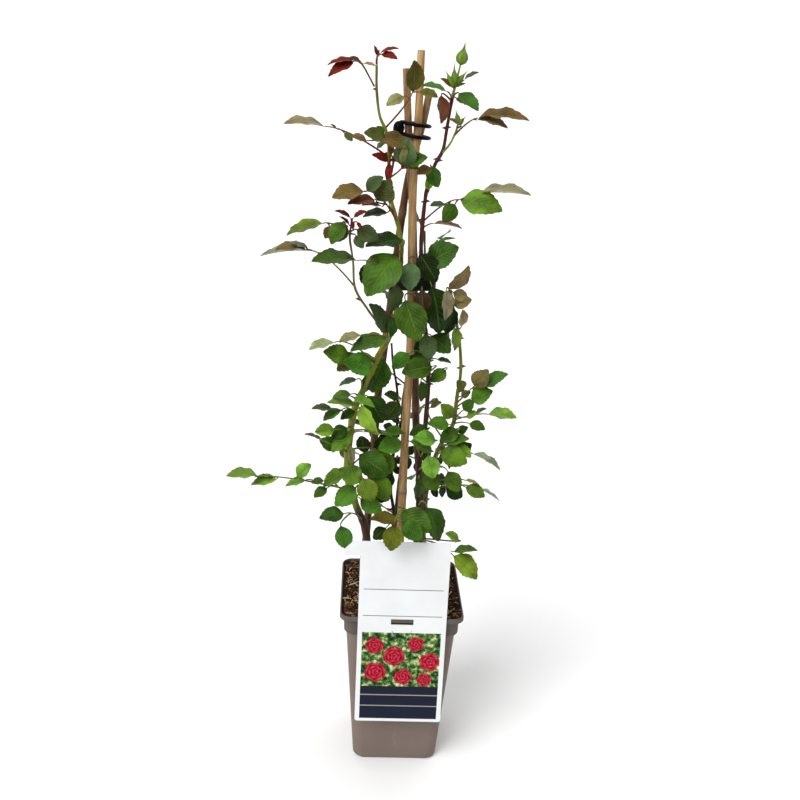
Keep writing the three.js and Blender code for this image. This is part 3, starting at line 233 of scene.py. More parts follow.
# Each leaf: where it leaves its stem (a height, or a point on an older leaf's
# stalk), where its end leaflet starts and ends, its number of leaflets, its face
# in degrees from straight up to the front, its lean in degrees towards +X, and
# its colour.
LEAVES = {
    "stem_left": [
        (783, (-16, -40, 822), (-13, -46, 852), 1, 75, 32, "olive"),
        ((-18.8, -37.7, 815.2), (-25, -38, 817), (-43, -44, 809), 1, 45, 0, "pale"),
        ((-16.1, -39.9, 821.6), (-10, -42, 822), (10, -47, 821), 1, 25, 0, "olive"),
        (774, (-42, -42, 774), (-63, -52, 782), 1, 45, 0, "olive"),
        ((-39.8, -38.3, 773.9), (-62, -52, 772), (-77, -57, 778), 1, 30, 0, "bronze"),
        (774, (-48, -40, 776), (-17, -51, 769), 1, 34, 0, "bronze"),
        (774, (-44, -38, 778), (-51, -42, 786), 1, 60, 0, "green"),
        (753, (-105, -62, 785), (-145, -70, 793), 1, 2, 0, "khaki"),
        ((-89.7, -56.4, 782.3), (-93, -58, 783), (-99, -60, 788), 1, 20, 0, "bronze"),
        ((-87.4, -55.3, 781.5), (-85, -56, 779), (-76, -59, 772), 1, 40, 0, "olive"),
        ((-54.7, -35.4, 764.9), (-51, -38, 763), (-41, -41, 773), 1, 30, 0, "pale"),
        (731, (-23, -40, 746), (-18, -51, 774), 1, 70, 0, "grey"),
        ((-23.4, -39.3, 744.9), (-19, -42, 749), (1, -49, 759), 1, 50, 0, "green"),
        ((-25.6, -35.8, 741.4), (-24, -38, 743), (-6, -42, 747), 1, 10, 0, "bronze"),
        ((-23.6, -38.9, 744.5), (-24, -44, 749), (-20, -50, 767), 1, 75, 45, "pale"),
        (683, (-63, -54, 720), (-96, -62, 718), 1, 22, 0, "bronze"),
        ((-62.3, -53.8, 720.1), (-60, -50, 720), (-45, -53, 737), 1, 40, 0, "grey"),
        ((-38.1, -34.2, 704.6), (-49, -46, 710), (-35, -52, 732), 1, 50, 20, "olive"),
        ((-48.0, -44.8, 715.3), (-51, -48, 711), (-79, -60, 711), 1, 25, 0, "russet"),
        ((-40.4, -37.0, 707.6), (-43, -46, 704), (-64, -56, 709), 1, 12, 0, "russet"),
        ((-34.2, -29.1, 698.9), (-37, -40, 697), (-63, -49, 696), 1, 20, 0, "deep"),
        (694, (-35, -32, 705), (-32, -36, 723), 1, 70, 50, "olive"),
        (652, (-20, -34, 667), (-58, -53, 667), 1, 28, 0, "dark"),
        (638, (-26, -46, 653), (-57, -71, 615), 1, 60, -8, "green"),
        ((-21.5, -35.1, 653.5), (-49, -40, 639), (-63, -47, 621), 1, 60, 0, "dark"),
        (629, (-25, -50, 621), (-25, -57, 592), 1, 75, 45, "grey"),
        (631, (-68, -72, 650), (-114, -83, 657), 1, 8, 0, "deep"),
        (543, (-33, -44, 565), (-48, -55, 600), 1, 70, 60, "grey"),
        (572, (-27, -36, 581), (-25, -43, 559), 1, 75, 40, "deep"),
        (542, (-33, -50, 560), (-72, -65, 553), 1, 22, 0, "green"),
        ((-30.4, -47.4, 560.3), (-61, -52, 563), (-85, -60, 560), 1, 5, 0, "pale"),
        (523, (-73, -62, 539), (-99, -73, 550), 1, 52, 0, "green"),
        (523, (-63, -52, 540), (-86, -64, 526), 1, 55, 0, "olive"),
        (518, (-47, -64, 530), (-77, -78, 541), 1, 54, 0, "green"),
        (530, (-34, -12, 524), (-47, -24, 487), 1, 70, -10, "green"),
        (511, (-50, -20, 508), (-54, -27, 487), 1, 70, 30, "grey"),
        (482, (-64, -50, 511), (-84, -57, 507), 1, 10, 0, "grey"),
        (478, (-70, -56, 495), (-90, -63, 495), 1, 22, 0, "green"),
        (478, (-67, -56, 491), (-42, -63, 486), 1, 15, 0, "bright"),
        (468, (-60, -60, 481), (-94, -68, 494), 1, 2, 0, "bright"),
        (473, (-58, -60, 484), (-42, -76, 453), 1, 60, -60, "bright"),
        (463, (-65, -50, 473), (-81, -58, 467), 1, 30, 0, "green"),
        (480, (-51, -20, 481), (-31, -29, 452), 1, 60, 0, "deep"),
        (434, (-55, -58, 451), (-21, -62, 453), 1, -4, 0, "green"),
        (441, (-30, -40, 446), (-8, -47, 449), 1, 25, 0, "green"),
        (410, (-58, -46, 418), (-24, -58, 399), 1, 60, 0, "deep"),
        (417, (-35, -36, 417), (-19, -44, 395), 1, 60, 0, "green"),
        (423, (-71, -64, 436), (-64, -70, 413), 1, 70, 60, "pale"),
        (429, (-67, -56, 448), (-91, -68, 432), 1, 18, 0, "green"),
        (439, (-73, -52, 453), (-91, -58, 445), 1, 45, 0, "green"),
        (437, (-87, -60, 453), (-108, -68, 455), 1, 40, 0, "bright"),
        (424, (-74, -54, 439), (-93, -60, 436), 1, 45, 0, "green"),
        (414, (-100, -64, 441), (-119, -68, 453), 1, -2, 0, "olive"),
        (453, (-90, -68, 481), (-112, -75, 486), 1, 15, 0, "grey"),
        (461, (-80, -62, 478), (-101, -69, 470), 1, 8, 0, "green"),
        (373, (-54, -62, 394), (-79, -72, 410), 1, 60, 0, "bright"),
        (373, (-53, -66, 397), (-41, -76, 373), 1, 68, -10, "bright"),
        (381, (-74, -56, 401), (-100, -64, 387), 1, 18, 0, "green"),
        (362, (-61, -58, 382), (-84, -70, 364), 1, 65, 0, "green"),
        (351, (-55, -52, 365), (-30, -62, 354), 1, 60, 0, "green"),
        (381, (-39, -48, 393), (-22, -59, 366), 1, 60, 0, "green"),
        (322, (-74, -60, 349), (-101, -70, 350), 1, 30, 0, "green"),
        ((-65.5, -52.7, 346.7), (-77, -58, 332), (-68, -68, 306), 1, 72, 0, "green"),
        (365, (-173, -66, 396), (-207, -71, 403), 1, -4, 0, "bright"),
        ((-150.8, -60.6, 393.5), (-152, -64, 392), (-181, -69, 390), 1, 16, 0, "bright"),
        ((-152.5, -61.1, 393.9), (-156, -62, 394), (-177, -64, 397), 1, -6, 0, "green"),
        ((-133.5, -55.0, 389.2), (-129, -60, 394), (-115, -60, 411), 1, 30, 0, "bright"),
        ((-105.7, -44.6, 380.3), (-119, -62, 391), (-142, -67, 388), 1, 12, 0, "bright"),
        ((-81.3, -34.7, 371.1), (-98, -60, 390), (-112, -63, 390), 1, 20, 0, "green"),
        ((-84.2, -35.9, 372.2), (-94, -60, 381), (-109, -68, 374), 1, 30, 0, "green"),
        (392, (-41, -8, 410), (-19, -16, 425), 3, 65, 0, "dark"),
        (354, (-42, -6, 353), (-20, -13, 347), 3, 65, 0, "dark"),
        (429, (-85, -14, 414), (-104, -21, 425), 3, 60, 0, "green"),
        (521, (-90, -64, 557), (-117, -74, 555), 1, 2, 0, "pale"),
    ],
    "stem_flowering": [
        (317, (-12, -92, 357), (-42, -99, 366), 1, 14, 0, "olive"),
        (317, (-16, -98, 355), (-19, -109, 327), 1, 68, 0, "lime"),
        (324, (-7, -66, 356), (27, -83, 342), 1, 62, 0, "green"),
        (314, (-7, -86, 352), (18, -96, 337), 1, 50, 0, "green"),
        (337, (24, -52, 356), (43, -63, 319), 1, 60, 35, "deep"),
        (320, (-25, -86, 345), (-39, -93, 334), 1, 60, 0, "dark"),
        (815, (21, -20, 823), (-4, -31, 832), 1, 20, 0, "green"),
        (813, (15, -24, 819), (19, -33, 792), 1, 75, 45, "russet"),
        (816, (34, -16, 822), (55, -31, 809), 1, 30, 0, "green"),
        (817, (31, -20, 817), (43, -27, 813), 1, 30, 0, "bronze"),
        (738, (8, -28, 746), (15, -35, 725), 1, 70, -30, "green"),
        (714, (8, -18, 720), (6, -22, 733), 1, 70, 30, "bright"),
        (684, (43, -22, 711), (86, -39, 708), 1, 46, 0, "bright"),
        ((42.5, -21.8, 711.1), (64, -18, 719), (118, -22, 728), 1, 0, 0, "khaki"),
        ((32.0, -18.5, 708.8), (28, -16, 704), (10, -21, 706), 1, 12, 0, "grey"),
        ((39.7, -20.8, 711.2), (37, -20, 706), (25, -29, 688), 1, 60, 20, "green"),
        (677, (15, -14, 683), (46, -22, 685), 1, 2, 0, "russet"),
        (634, (11, -16, 640), (41, -27, 661), 1, 60, 0, "green"),
        (648, (1, -22, 650), (22, -31, 622), 1, 62, 0, "dark"),
        (639, (-11, -44, 645), (-9, -55, 616), 1, 70, 0, "grey"),
        (587, (4, -44, 614), (7, -52, 590), 1, 76, 0, "umber"),
        (635, (16, -30, 615), (31, -43, 567), 1, 70, 30, "dark"),
        (592, (-14, -56, 605), (2, -69, 563), 1, 66, -8, "deep"),
        (557, (10, -40, 563), (19, -50, 537), 1, 60, 20, "grey"),
        (550, (19, -26, 558), (41, -38, 544), 1, 52, 0, "deep"),
        (541, (7, -20, 551), (6, -27, 533), 1, 70, 20, "dark"),
        (508, (20, -50, 529), (-13, -62, 527), 1, 46, 0, "deep"),
        (521, (19, -36, 532), (-9, -45, 538), 1, 14, 0, "deep"),
        (525, (-6, -40, 540), (-25, -49, 526), 1, 46, 0, "green"),
        (504, (37, -36, 521), (20, -45, 510), 1, 60, 0, "green"),
        (523, (27, -24, 530), (43, -31, 530), 1, 14, 0, "deep"),
        (493, (10, -24, 503), (14, -30, 480), 1, 75, 50, "deep"),
        (433, (21, -26, 446), (0, -35, 442), 1, 45, 0, "deep"),
        (418, (30, -38, 436), (6, -48, 444), 1, 40, 0, "bright"),
        (402, (-10, -50, 437), (-36, -61, 433), 1, 50, 0, "green"),
        (408, (27, -34, 421), (4, -42, 438), 1, 25, 0, "green"),
        (400, (22, -44, 419), (29, -54, 394), 1, 70, 0, "bright"),
        (384, (21, -32, 394), (36, -40, 373), 1, 64, 0, "green"),
        (371, (14, -26, 382), (14, -33, 356), 1, 70, 40, "deep"),
        (738, (8, -34, 745), (-7, -44, 741), 1, 44, 0, "bronze"),
    ],
    "stem_middle": [
        (471, (-14, -28, 478), (-30, -38, 459), 1, 62, 0, "deep"),
        (476, (-15, -20, 480), (-30, -28, 488), 1, 40, 0, "deep"),
        (381, (-15, -30, 409), (-28, -39, 395), 1, 60, 0, "deep"),
        (400, (-19, -12, 383), (-28, -19, 362), 5, 66, 0, "dark"),
    ],
    "stem_right": [
        (563, (37, -20, 611), (58, -32, 637), 1, 70, 45, "khaki"),
        ((35.9, -12.4, 597.0), (42, -20, 594), (60, -29, 603), 1, 60, 0, "khaki"),
        ((35.8, -18.7, 608.8), (41, -20, 608), (58, -26, 602), 1, 60, 0, "khaki"),
        ((36.7, -19.8, 610.6), (32, -36, 614), (35, -49, 583), 1, 75, 48, "beige"),
        (558, (54, -10, 566), (56, -16, 586), 1, 70, 40, "beige"),
        (563, (46, -14, 565), (50, -21, 540), 1, 75, 45, "bright"),
        (601, (39, -8, 589), (40, -16, 557), 1, 75, 40, "dark"),
        (483, (62, -10, 490), (54, -16, 502), 1, 60, 0, "olive"),
        (476, (59, -12, 482), (68, -18, 490), 1, 60, 0, "olive"),
        (468, (72, -24, 499), (84, -34, 521), 1, 60, 0, "bronze"),
        ((69.5, -21.4, 495.4), (83, -24, 500), (106, -32, 520), 1, 28, 0, "green"),
        (463, (70, -20, 482), (91, -31, 496), 1, 60, 0, "green"),
        (448, (62, -18, 467), (72, -25, 481), 1, 60, 0, "green"),
        (448, (91, -24, 465), (123, -30, 469), 1, 6, 0, "bright"),
        ((74.8, -16.2, 460.8), (76, -22, 465), (87, -26, 474), 1, 20, 0, "grey"),
        (453, (66, -20, 459), (78, -25, 468), 1, 32, 0, "bright"),
        (443, (70, -20, 451), (88, -28, 449), 1, 34, 0, "green"),
        (427, (58, -18, 439), (67, -24, 448), 1, 50, 0, "deep"),
        (448, (50, -14, 456), (37, -23, 474), 1, 60, 0, "bright"),
        (437, (45, -30, 453), (21, -38, 458), 1, 40, 0, "green"),
        (432, (57, -26, 445), (35, -33, 433), 1, 42, 0, "green"),
        (414, (43, -30, 428), (67, -36, 442), 1, 8, 0, "green"),
        (405, (37, -34, 421), (68, -44, 412), 1, 60, 0, "green"),
        (408, (56, -30, 425), (74, -36, 417), 1, 30, 0, "bright"),
        (394, (77, -20, 413), (112, -27, 402), 1, -12, 0, "pale"),
        (375, (47, -34, 395), (61, -44, 374), 1, 66, 0, "green"),
        (361, (69, -28, 382), (86, -32, 381), 1, 4, 0, "pale"),
        (356, (70, -30, 374), (93, -38, 368), 1, 36, 0, "bright"),
        (353, (88, -26, 370), (113, -32, 362), 1, -8, 0, "pale"),
        (287, (63, -58, 318), (48, -64, 330), 1, 34, 0, "bright"),
        (284, (57, -68, 308), (82, -76, 318), 1, 8, 0, "green"),
        (284, (57, -70, 303), (87, -83, 284), 1, 46, 38, "bright"),
        (422, (23, -18, 469), (34, -23, 479), 1, 24, 0, "olive"),
        (405, (58, 20, 394), (79, 20, 410), 5, 60, 0, "dark"),
        (356, (51, 18, 353), (74, 18, 339), 5, 60, 0, "dark"),
    ],
    "shoot_left": [
        (678, (-105, -68, 687), (-143, -76, 680), 1, 14, 0, "bright"),
        ((-100.0, -66.9, 687.6), (-98, -66, 684), (-101, -72, 672), 1, 62, 30, "bronze"),
        ((-79.3, -62.5, 679.8), (-84, -66, 689), (-96, -76, 668), 1, 64, -10, "green"),
        ((-88.8, -64.6, 684.5), (-79, -66, 684), (-89, -72, 670), 1, 50, -10, "grey"),
        (676, (-70, -64, 675), (-62, -70, 663), 1, 60, -10, "grey"),
        (678, (-69, -62, 681), (-46, -69, 673), 1, 56, 0, "grey"),
        (615, (-122, -52, 655), (-171, -57, 656), 1, 0, 0, "khaki"),
        ((-119.7, -51.7, 655.1), (-123, -52, 656), (-155, -54, 660), 1, 4, 0, "bronze"),
        ((-116.5, -51.3, 654.7), (-120, -52, 656), (-140, -52, 666), 1, 4, 0, "khaki"),
    ],
    "young_tip_left": [
        (854, (-51, -24, 858), (-35, -31, 868), 1, 20, 0, "red"),
        (854, (-50, -26, 857), (-35, -38, 858), 1, 40, 0, "red"),
        (853, (-54, -22, 856), (-56, -26, 865), 1, 70, 20, "red"),
    ],
    "young_leaf_left": [
        (847, (-77, -38, 850), (-103, -48, 852), 1, 20, 0, "red"),
        ((-74.5, -36.4, 849.7), (-78, -38, 849), (-102, -54, 840), 1, 45, 0, "red"),
        ((-71.3, -33.3, 848.0), (-68, -36, 847), (-56, -39, 849), 1, 20, 0, "beige"),
        ((-70.5, -32.5, 847.5), (-71, -36, 849), (-80, -42, 855), 1, 40, 0, "russet"),
    ],
    "young_shoot": [
        (753, (-38, -34, 751), (-52, -46, 759), 1, 58, 0, "red"),
        (753, (-33, -32, 751), (-21, -38, 756), 1, 55, 0, "red"),
        (751, (-37, -34, 748), (-37, -42, 732), 1, 75, 20, "red"),
        (751, (-35, -32, 757), (-36, -38, 769), 1, 70, 0, "russet"),
        (750, (-32, -32, 757), (-26, -37, 767), 1, 60, 0, "red"),
    ],
    "young_tip_shoot": [
        (687, (-76, -68, 694), (-89, -76, 705), 1, 30, 0, "red"),
        (686, (-73, -68, 694), (-63, -75, 705), 1, 30, 0, "red"),
        (685, (-77, -66, 686), (-84, -74, 697), 1, 40, 30, "red"),
        (687, (-69, -70, 690), (-64, -76, 685), 1, 60, 0, "red"),
        (687, (-74, -70, 691), (-73, -76, 684), 1, 70, 0, "red"),
    ],
    "bud_cluster": [
        (827, (26, -10, 828), (17, -18, 837), 1, 50, 0, "bronze"),
        (827, (30, -12, 827), (38, -17, 834), 1, 30, 0, "green"),
        (831, (39, -12, 835), (50, -17, 847), 1, 20, 0, "grey"),
    ],
    "bud_spray": [
        (786, (38, -20, 789), (27, -28, 798), 1, 40, 0, "pale"),
        (778, (55, -26, 798), (103, -38, 813), 1, 12, 0, "bronze"),
        # This leaf lies in the shade of the one above it; its paler beige tint is partly painted light.
        ((50.5, -24.4, 796.4), (54, -26, 796), (85, -36, 799), 1, 16, 0, "beige"),
    ],
    "stem_back": [
        (300, (-28, 77, 297), (-40, 98, 296), 3, -50, 0, "dark"),
        (345, (33, 75, 350), (52, 90, 352), 5, -40, 0, "green"),
        (392, (-47, 78, 405), (-66, 92, 410), 3, -45, 0, "dark"),
        (430, (25, 82, 437), (40, 100, 440), 5, -50, 0, "green"),
        (478, (-42, 76, 493), (-58, 92, 500), 3, -50, 0, "dark"),
        (520, (33, 69, 527), (48, 88, 530), 5, -40, 0, "green"),
        (570, (-34, 67, 584), (-50, 84, 590), 3, -45, 0, "dark"),
        (636, (30, 60, 653), (40, 80, 662), 5, -40, 0, "green"),
        (660, (-2, 59, 686), (-8, 78, 700), 3, -50, 0, "dark"),
        (382, (23, 34, 375), (40, 28, 354), 5, 62, 0, "dark"),
        (430, (-20, 36, 416), (-33, 30, 396), 5, 62, 0, "dark"),
    ],
}

# The habit of full-grown and of young leaves: a leaflet's width as a share of its
# length, how it folds up and droops, how its stalk arches, and how far its pairs
# spread from the stalk (degrees) and rise above it.
MATURE = {"width": 0.76, "fold": 0.36, "droop": 0.16, "arch": 0.06, "spread": 58, "sag": -0.1}
YOUNG = {"width": 0.5, "fold": 0.5, "droop": 0.3, "arch": 0.06, "spread": 44, "sag": -0.1}

STALK_START = 1.15               # half the thickness of a leaf's stalk, at its foot
STALK_END = 0.65
STALK_BEND = 0.25                # share of a stalk that turns into line with its blade
STALK_STEPS = 10
PAIR_SPACING = 0.8               # between a leaf's pairs, as a share of its end leaflet
FIRST_PAIR = 0.8                 # from the end leaflet back to the first, in spacings
STALK_SPARE = 0.1                # stalk left bare below the last pair, in spacings
LEAFLET_SEAT = 0.69              # from a stalk's middle to where a paired leaflet starts

# The leaflets of a pair: the length of the first as a share of the end leaflet's;
# then how length, spread (degrees) and sag change for each pair further down the
# stalk, how much they vary, and how they change where pairs are crowded.
PAIR_LENGTH = {"first": 0.87, "further": 0.08, "varies": 0.04, "crowded": 0.8}
PAIR_SPREAD = {"further": 5, "varies": 4, "crowded": 24}
PAIR_SAG = {"even_crowded": -0.34, "odd_crowded": 0.22, "varies": 0.06}

# How the blades of leaflets differ and bend, as shares of their width or length.
WIDTH_VARIES = 0.08
CURL = 0.11                      # how far a blade twists, at most
CUP = 0.05                       # how far its sides hang
RIPPLE = 0.024                   # how high its rim is waved
RIPPLES = 2.6                    # waves along its rim
FINE_FROM = 24                   # millimetres of leaflet above which its rim has more teeth

# ---------------------------------------------------------------- geometry


def vary(seed):
    """A steady value from -1 to 1 that differs from one leaflet to the next."""
    value = math.sin(seed * 12.9898) * 43758.5453
    return (value - math.floor(value)) * 2 - 1


def point_along(line, share, closed=False):
    """The point of a smooth curve through a line's points, at a share from 0 to 1."""
    points = [Vector(p) for p in line]
    count = len(points)
    spans = count if closed else count - 1
    place = min(max(share, 0.0), 1.0) * spans
    span = min(int(place), spans - 1)
    t = place - span
    if closed:
        a, b, c, d = (points[(span + k) % count] for k in (-1, 0, 1, 2))
    else:
        b, c = points[span], points[span + 1]
        a = points[span - 1] if span else 2 * b - c
        d = points[span + 2] if span + 2 < count else 2 * c - b
    start, end = (c - a) / 2, (d - b) / 2
    return (b + start * t + (3 * (c - b) - 2 * start - end) * t ** 2
            + (2 * (b - c) + start + end) * t ** 3)


def share_at_height(line, height):
    """The share of a rising curve at which it passes a height."""
    low, high = 0.0, 1.0
    for _ in range(30):
        middle = (low + high) / 2
        if point_along(line, middle).z < height:
            low = middle
        else:
            high = middle
    return low


def frame_along(direction, up):
    """Along a shape, to its right, and out of its upper face."""
    along = direction.normalized()
    across = along.cross(up).normalized()
    return along, across, across.cross(along)


def facing(face, lean):
    """Where a leaf faces: its degrees from straight up to the front, and towards +X."""
    face, lean = math.radians(face), math.radians(lean)
    return Vector((math.sin(lean), -math.sin(face) * math.cos(lean),
                   math.cos(face) * math.cos(lean)))


def value_at(profile, place):
    """The value at a place of a profile, which is a row of places and their values."""
    return float(np.interp(place, *zip(*profile)))


# --------------------------------------------------------------- modelling


def choose_only(piece):
    if bpy.context.mode != "OBJECT":
        bpy.ops.object.mode_set(mode="OBJECT")
    bpy.ops.object.select_all(action="DESELECT")
    piece.select_set(True)
    bpy.context.view_layer.objects.active = piece


def edit(piece):
    """Opens a piece in edit mode with all of it selected."""
    choose_only(piece)
    bpy.ops.object.mode_set(mode="EDIT")
    bpy.ops.mesh.select_all(action="SELECT")


def take_up():
    """Opens the shape that was just added in edit mode, with all of it selected."""
    piece = bpy.context.view_layer.objects.active
    edit(piece)
    return piece


def leave_edit():
    bpy.ops.object.mode_set(mode="OBJECT")


def pick(piece, kind, chosen):
    """In edit mode, selects only the points or the faces of a piece that pass a test."""
    leave_edit()
    mesh = piece.data
    for parts in (mesh.vertices, mesh.edges, mesh.polygons):
        parts.foreach_set("select", [False] * len(parts))
    parts = mesh.vertices if kind == "VERT" else mesh.polygons
    parts.foreach_set("select", [bool(chosen(part)) for part in parts])
    bpy.ops.object.mode_set(mode="EDIT")
    bpy.ops.mesh.select_mode(type=kind)


def pick_points(piece, chosen):
    pick(piece, "VERT", lambda point: chosen(point.co))


def pick_faces(piece, chosen):
    pick(piece, "FACE", chosen)


def extrude(rise, bend=0.0):
    """Draws what is selected on: upwards by a rise, and towards +Y by a bend."""
    bpy.ops.mesh.extrude_region_move(TRANSFORM_OT_translate={"value": (0, bend, rise)})


def draw_up(levels, unit=MM):
    """Draws the chosen face on through further levels, each a height and a width."""
    for (low, narrow), (high, wide) in zip(levels, levels[1:]):
        extrude((high - low) * unit)
        bpy.ops.transform.resize(
            value=(wide / narrow, wide / narrow, 1), center_override=(0, 0, high * unit))


def close_up(piece, angle=30.0):
    """Turns a piece's faces outwards, and settles it."""
    edit(piece)
    bpy.ops.mesh.normals_make_consistent(inside=False)
    leave_edit()
    settle(piece, angle)


def settle(piece, angle=30.0):
    """Makes a piece smooth but for its sharp edges, with its place in its mesh."""
    choose_only(piece)
    bpy.ops.object.transform_apply(location=True, rotation=True, scale=True)
    bpy.ops.object.shade_smooth_by_angle(angle=math.radians(angle))
    return piece


def apply_modifier(piece, kind, **settings):
    choose_only(piece)
    modifier = piece.modifiers.new(kind.title(), kind)
    for setting, value in settings.items():
        setattr(modifier, setting, value)
    bpy.ops.object.modifier_apply(modifier=modifier.name)


def join(name, pieces):
    choose_only(pieces[0])
    for other in pieces[1:]:
        other.select_set(True)
    if len(pieces) > 1:
        bpy.ops.object.join()
    whole = bpy.context.view_layer.objects.active
    whole.name = name
    whole.data.name = name
    return whole


def dress(piece, *materials):
    piece.data.materials.clear()
    for material in materials:
        piece.data.materials.append(material)


def finish_piece(piece, slot, *nodes):
    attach(piece, "root")
    if nodes:
        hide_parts(*nodes)


def rods(name, lines, resolution):
    """Round bars along lines of points, each point with a radius, as one mesh."""
    curve = bpy.data.curves.new(name, "CURVE")
    curve.dimensions = "3D"
    curve.bevel_depth = MM
    curve.bevel_resolution = resolution
    curve.use_fill_caps = True
    for points, radii, closed in lines:
        spline = curve.splines.new("POLY")
        spline.points.add(len(points) - 1)
        spline.use_cyclic_u = closed
        for knot, place, radius in zip(spline.points, points, radii):
            knot.co = (*(place * MM), 1)
            knot.radius = radius
    piece = bpy.data.objects.new(name, curve)
    bpy.context.scene.collection.objects.link(piece)
    choose_only(piece)
    bpy.ops.object.convert(target="MESH")
    piece = take_up()
    bpy.ops.mesh.remove_doubles(threshold=0.02 * MM)
    leave_edit()
    return piece


class Template:
    """A shape that is modelled once: its points, faces, marks on them and pattern."""

    def __init__(self, piece):
        mesh = piece.data
        self.points = np.array([v.co for v in mesh.vertices])
        self.faces = [list(f.vertices) for f in mesh.polygons]
        self.materials = [f.material_index for f in mesh.polygons]
        self.pattern = np.array([d.uv for d in mesh.uv_layers[0].data])
        bpy.data.objects.remove(piece)


class Gathering:
    """Copies of templates, each laid in its place, that become one mesh."""

    def __init__(self):
        self.points, self.faces, self.materials = [], [], []
        self.pattern, self.tints, self.count = [], [], 0

    def lay(self, template, points, tint):
        self.points.append(points)
        self.faces += [[i + self.count for i in face] for face in template.faces]
        self.materials += template.materials
        self.pattern.append(template.pattern)
        self.tints.append(np.tile((*tint, 1.0), (len(template.pattern), 1)))
        self.count += len(points)

    def stamp(self, template, matrix, tint):
        turn, place = np.array(matrix.to_3x3()), np.array(matrix.translation)
        self.lay(template, template.points @ turn.T + place, tint)

    def piece(self, name, *materials, angle=45.0):
        mesh = bpy.data.meshes.new(name)
        mesh.from_pydata(np.concatenate(self.points) * MM, [], self.faces)
        mesh.polygons.foreach_set("material_index", self.materials)
        pattern = mesh.uv_layers.new(name="blade")
        pattern.data.foreach_set("uv", np.concatenate(self.pattern).ravel())
        tint = mesh.color_attributes.new(name="tint", type="FLOAT_COLOR", domain="CORNER")
        tint.data.foreach_set("color", np.concatenate(self.tints).ravel())
        piece = bpy.data.objects.new(name, mesh)
        bpy.context.scene.collection.objects.link(piece)
        dress(piece, *materials)
        return settle(piece, angle)


# --------------------------------------------------------------- materials


class Wire:
    """The output of a node. Arithmetic on it adds Math nodes."""

    def __init__(self, paint, socket):
        self.paint, self.socket = paint, socket

    def _maths(self, operation, *values):
        return self.paint.node("ShaderNodeMath", {"operation": operation},
                               dict(enumerate(values)))

    def __add__(self, other):
        return self._maths("ADD", self, other)

    __radd__ = __add__

    def __mul__(self, other):
        return self._maths("MULTIPLY", self, other)

    __rmul__ = __mul__

    def __sub__(self, other):
        return self._maths("SUBTRACT", self, other)

    def __rsub__(self, other):
        return self._maths("SUBTRACT", other, self)

    def __truediv__(self, other):
        return self._maths("DIVIDE", self, other)

    def __pow__(self, other):
        return self._maths("POWER", self, other)

    def __abs__(self):
        return self._maths("ABSOLUTE", self)

    def __gt__(self, other):
        return self._maths("GREATER_THAN", self, other)

    def __lt__(self, other):
        return self._maths("LESS_THAN", self, other)

    def sine(self):
        return self._maths("SINE", self)

    def fraction(self):
        return self._maths("FRACT", self)

    def higher_of(self, other):
        return self._maths("MAXIMUM", self, other)

    def between(self, low, high):
        """0 below low, 1 above high, smooth in between; or the other way round."""
        return self.paint.node(
            "ShaderNodeMapRange", {"interpolation_type": "SMOOTHSTEP"},
            {"Value": self, "From Min": low, "From Max": high})


class Paint:
    """A material in the making: one Principled shader and the nodes that feed it."""

    def __init__(self, name, constants):
        self.material = bpy.data.materials.new(name)
        self.material.use_nodes = True
        self.tree = self.material.node_tree
        self.shader = self.tree.nodes["Principled BSDF"]
        for socket, value in constants.items():
            self.set(self.shader.inputs[socket], value)

    def set(self, socket, value):
        if isinstance(value, Wire):
            self.tree.links.new(value.socket, socket)
        elif isinstance(value, tuple) and len(value) == 3 and socket.type == "RGBA":
            socket.default_value = (*value, 1.0)
        else:
            socket.default_value = value

    def node(self, kind, settings=None, values=None, output=0):
        made = self.tree.nodes.new(kind)
        for setting, value in (settings or {}).items():
            if setting == "stops":
                stops = made.color_ramp.elements
                while len(stops) < len(value):
                    stops.new(0.5)
                for stop, (place, colour) in zip(stops, value):
                    stop.position = place
                    stop.color = (*colour, 1.0)
            else:
                setattr(made, setting, value)
        for socket, value in (values or {}).items():
            self.set(made.inputs[socket], value)
        return Wire(self, made.outputs[output])

    def feed(self, **wires):
        for socket, value in wires.items():
            self.set(self.shader.inputs[socket.replace("_", " ").title()], value)

    def place(self, scale=(1.0, 1.0, 1.0)):
        """The place on the object, in metres, stretched by a scale."""
        where = self.node("ShaderNodeTexCoord", output="Object")
        return self.node("ShaderNodeMapping", {}, {"Vector": where, "Scale": scale})

    def parts(self, vector):
        split = self.node("ShaderNodeSeparateXYZ", {}, {"Vector": vector}).socket.node
        return [Wire(self, out) for out in split.outputs]

    def height(self):
        """The height above the ground, in metres."""
        return self.parts(self.place())[2]

    def noise(self, scale, detail=3.0, roughness=0.5, place=None):
        return self.node("ShaderNodeTexNoise", {}, {
            "Vector": place or self.place(), "Scale": scale, "Detail": detail,
            "Roughness": roughness})

    def blend(self, factor, low, high, kind="MIX"):
        return self.node("ShaderNodeMix", {"data_type": "RGBA", "blend_type": kind},
                         {0: factor, 6: low, 7: high}, output=2)

    def lit(self, colour, light):
        """A colour made darker or lighter, where a light of 1 leaves it alone."""
        shade = self.node("ShaderNodeCombineColor", {}, {0: light, 1: light, 2: light})
        return self.blend(1.0, colour, shade, "MULTIPLY")

    def ramp(self, value, *stops):
        return self.node("ShaderNodeValToRGB", {"stops": stops}, {"Fac": value})

    def tint(self):
        return self.node("ShaderNodeAttribute", {"attribute_name": "tint"}, output="Color")

    def bump(self, height, distance, strength=1.0):
        bumped = self.node("ShaderNodeBump", {}, {
            "Height": height, "Distance": distance, "Strength": strength})
        self.feed(normal=bumped)


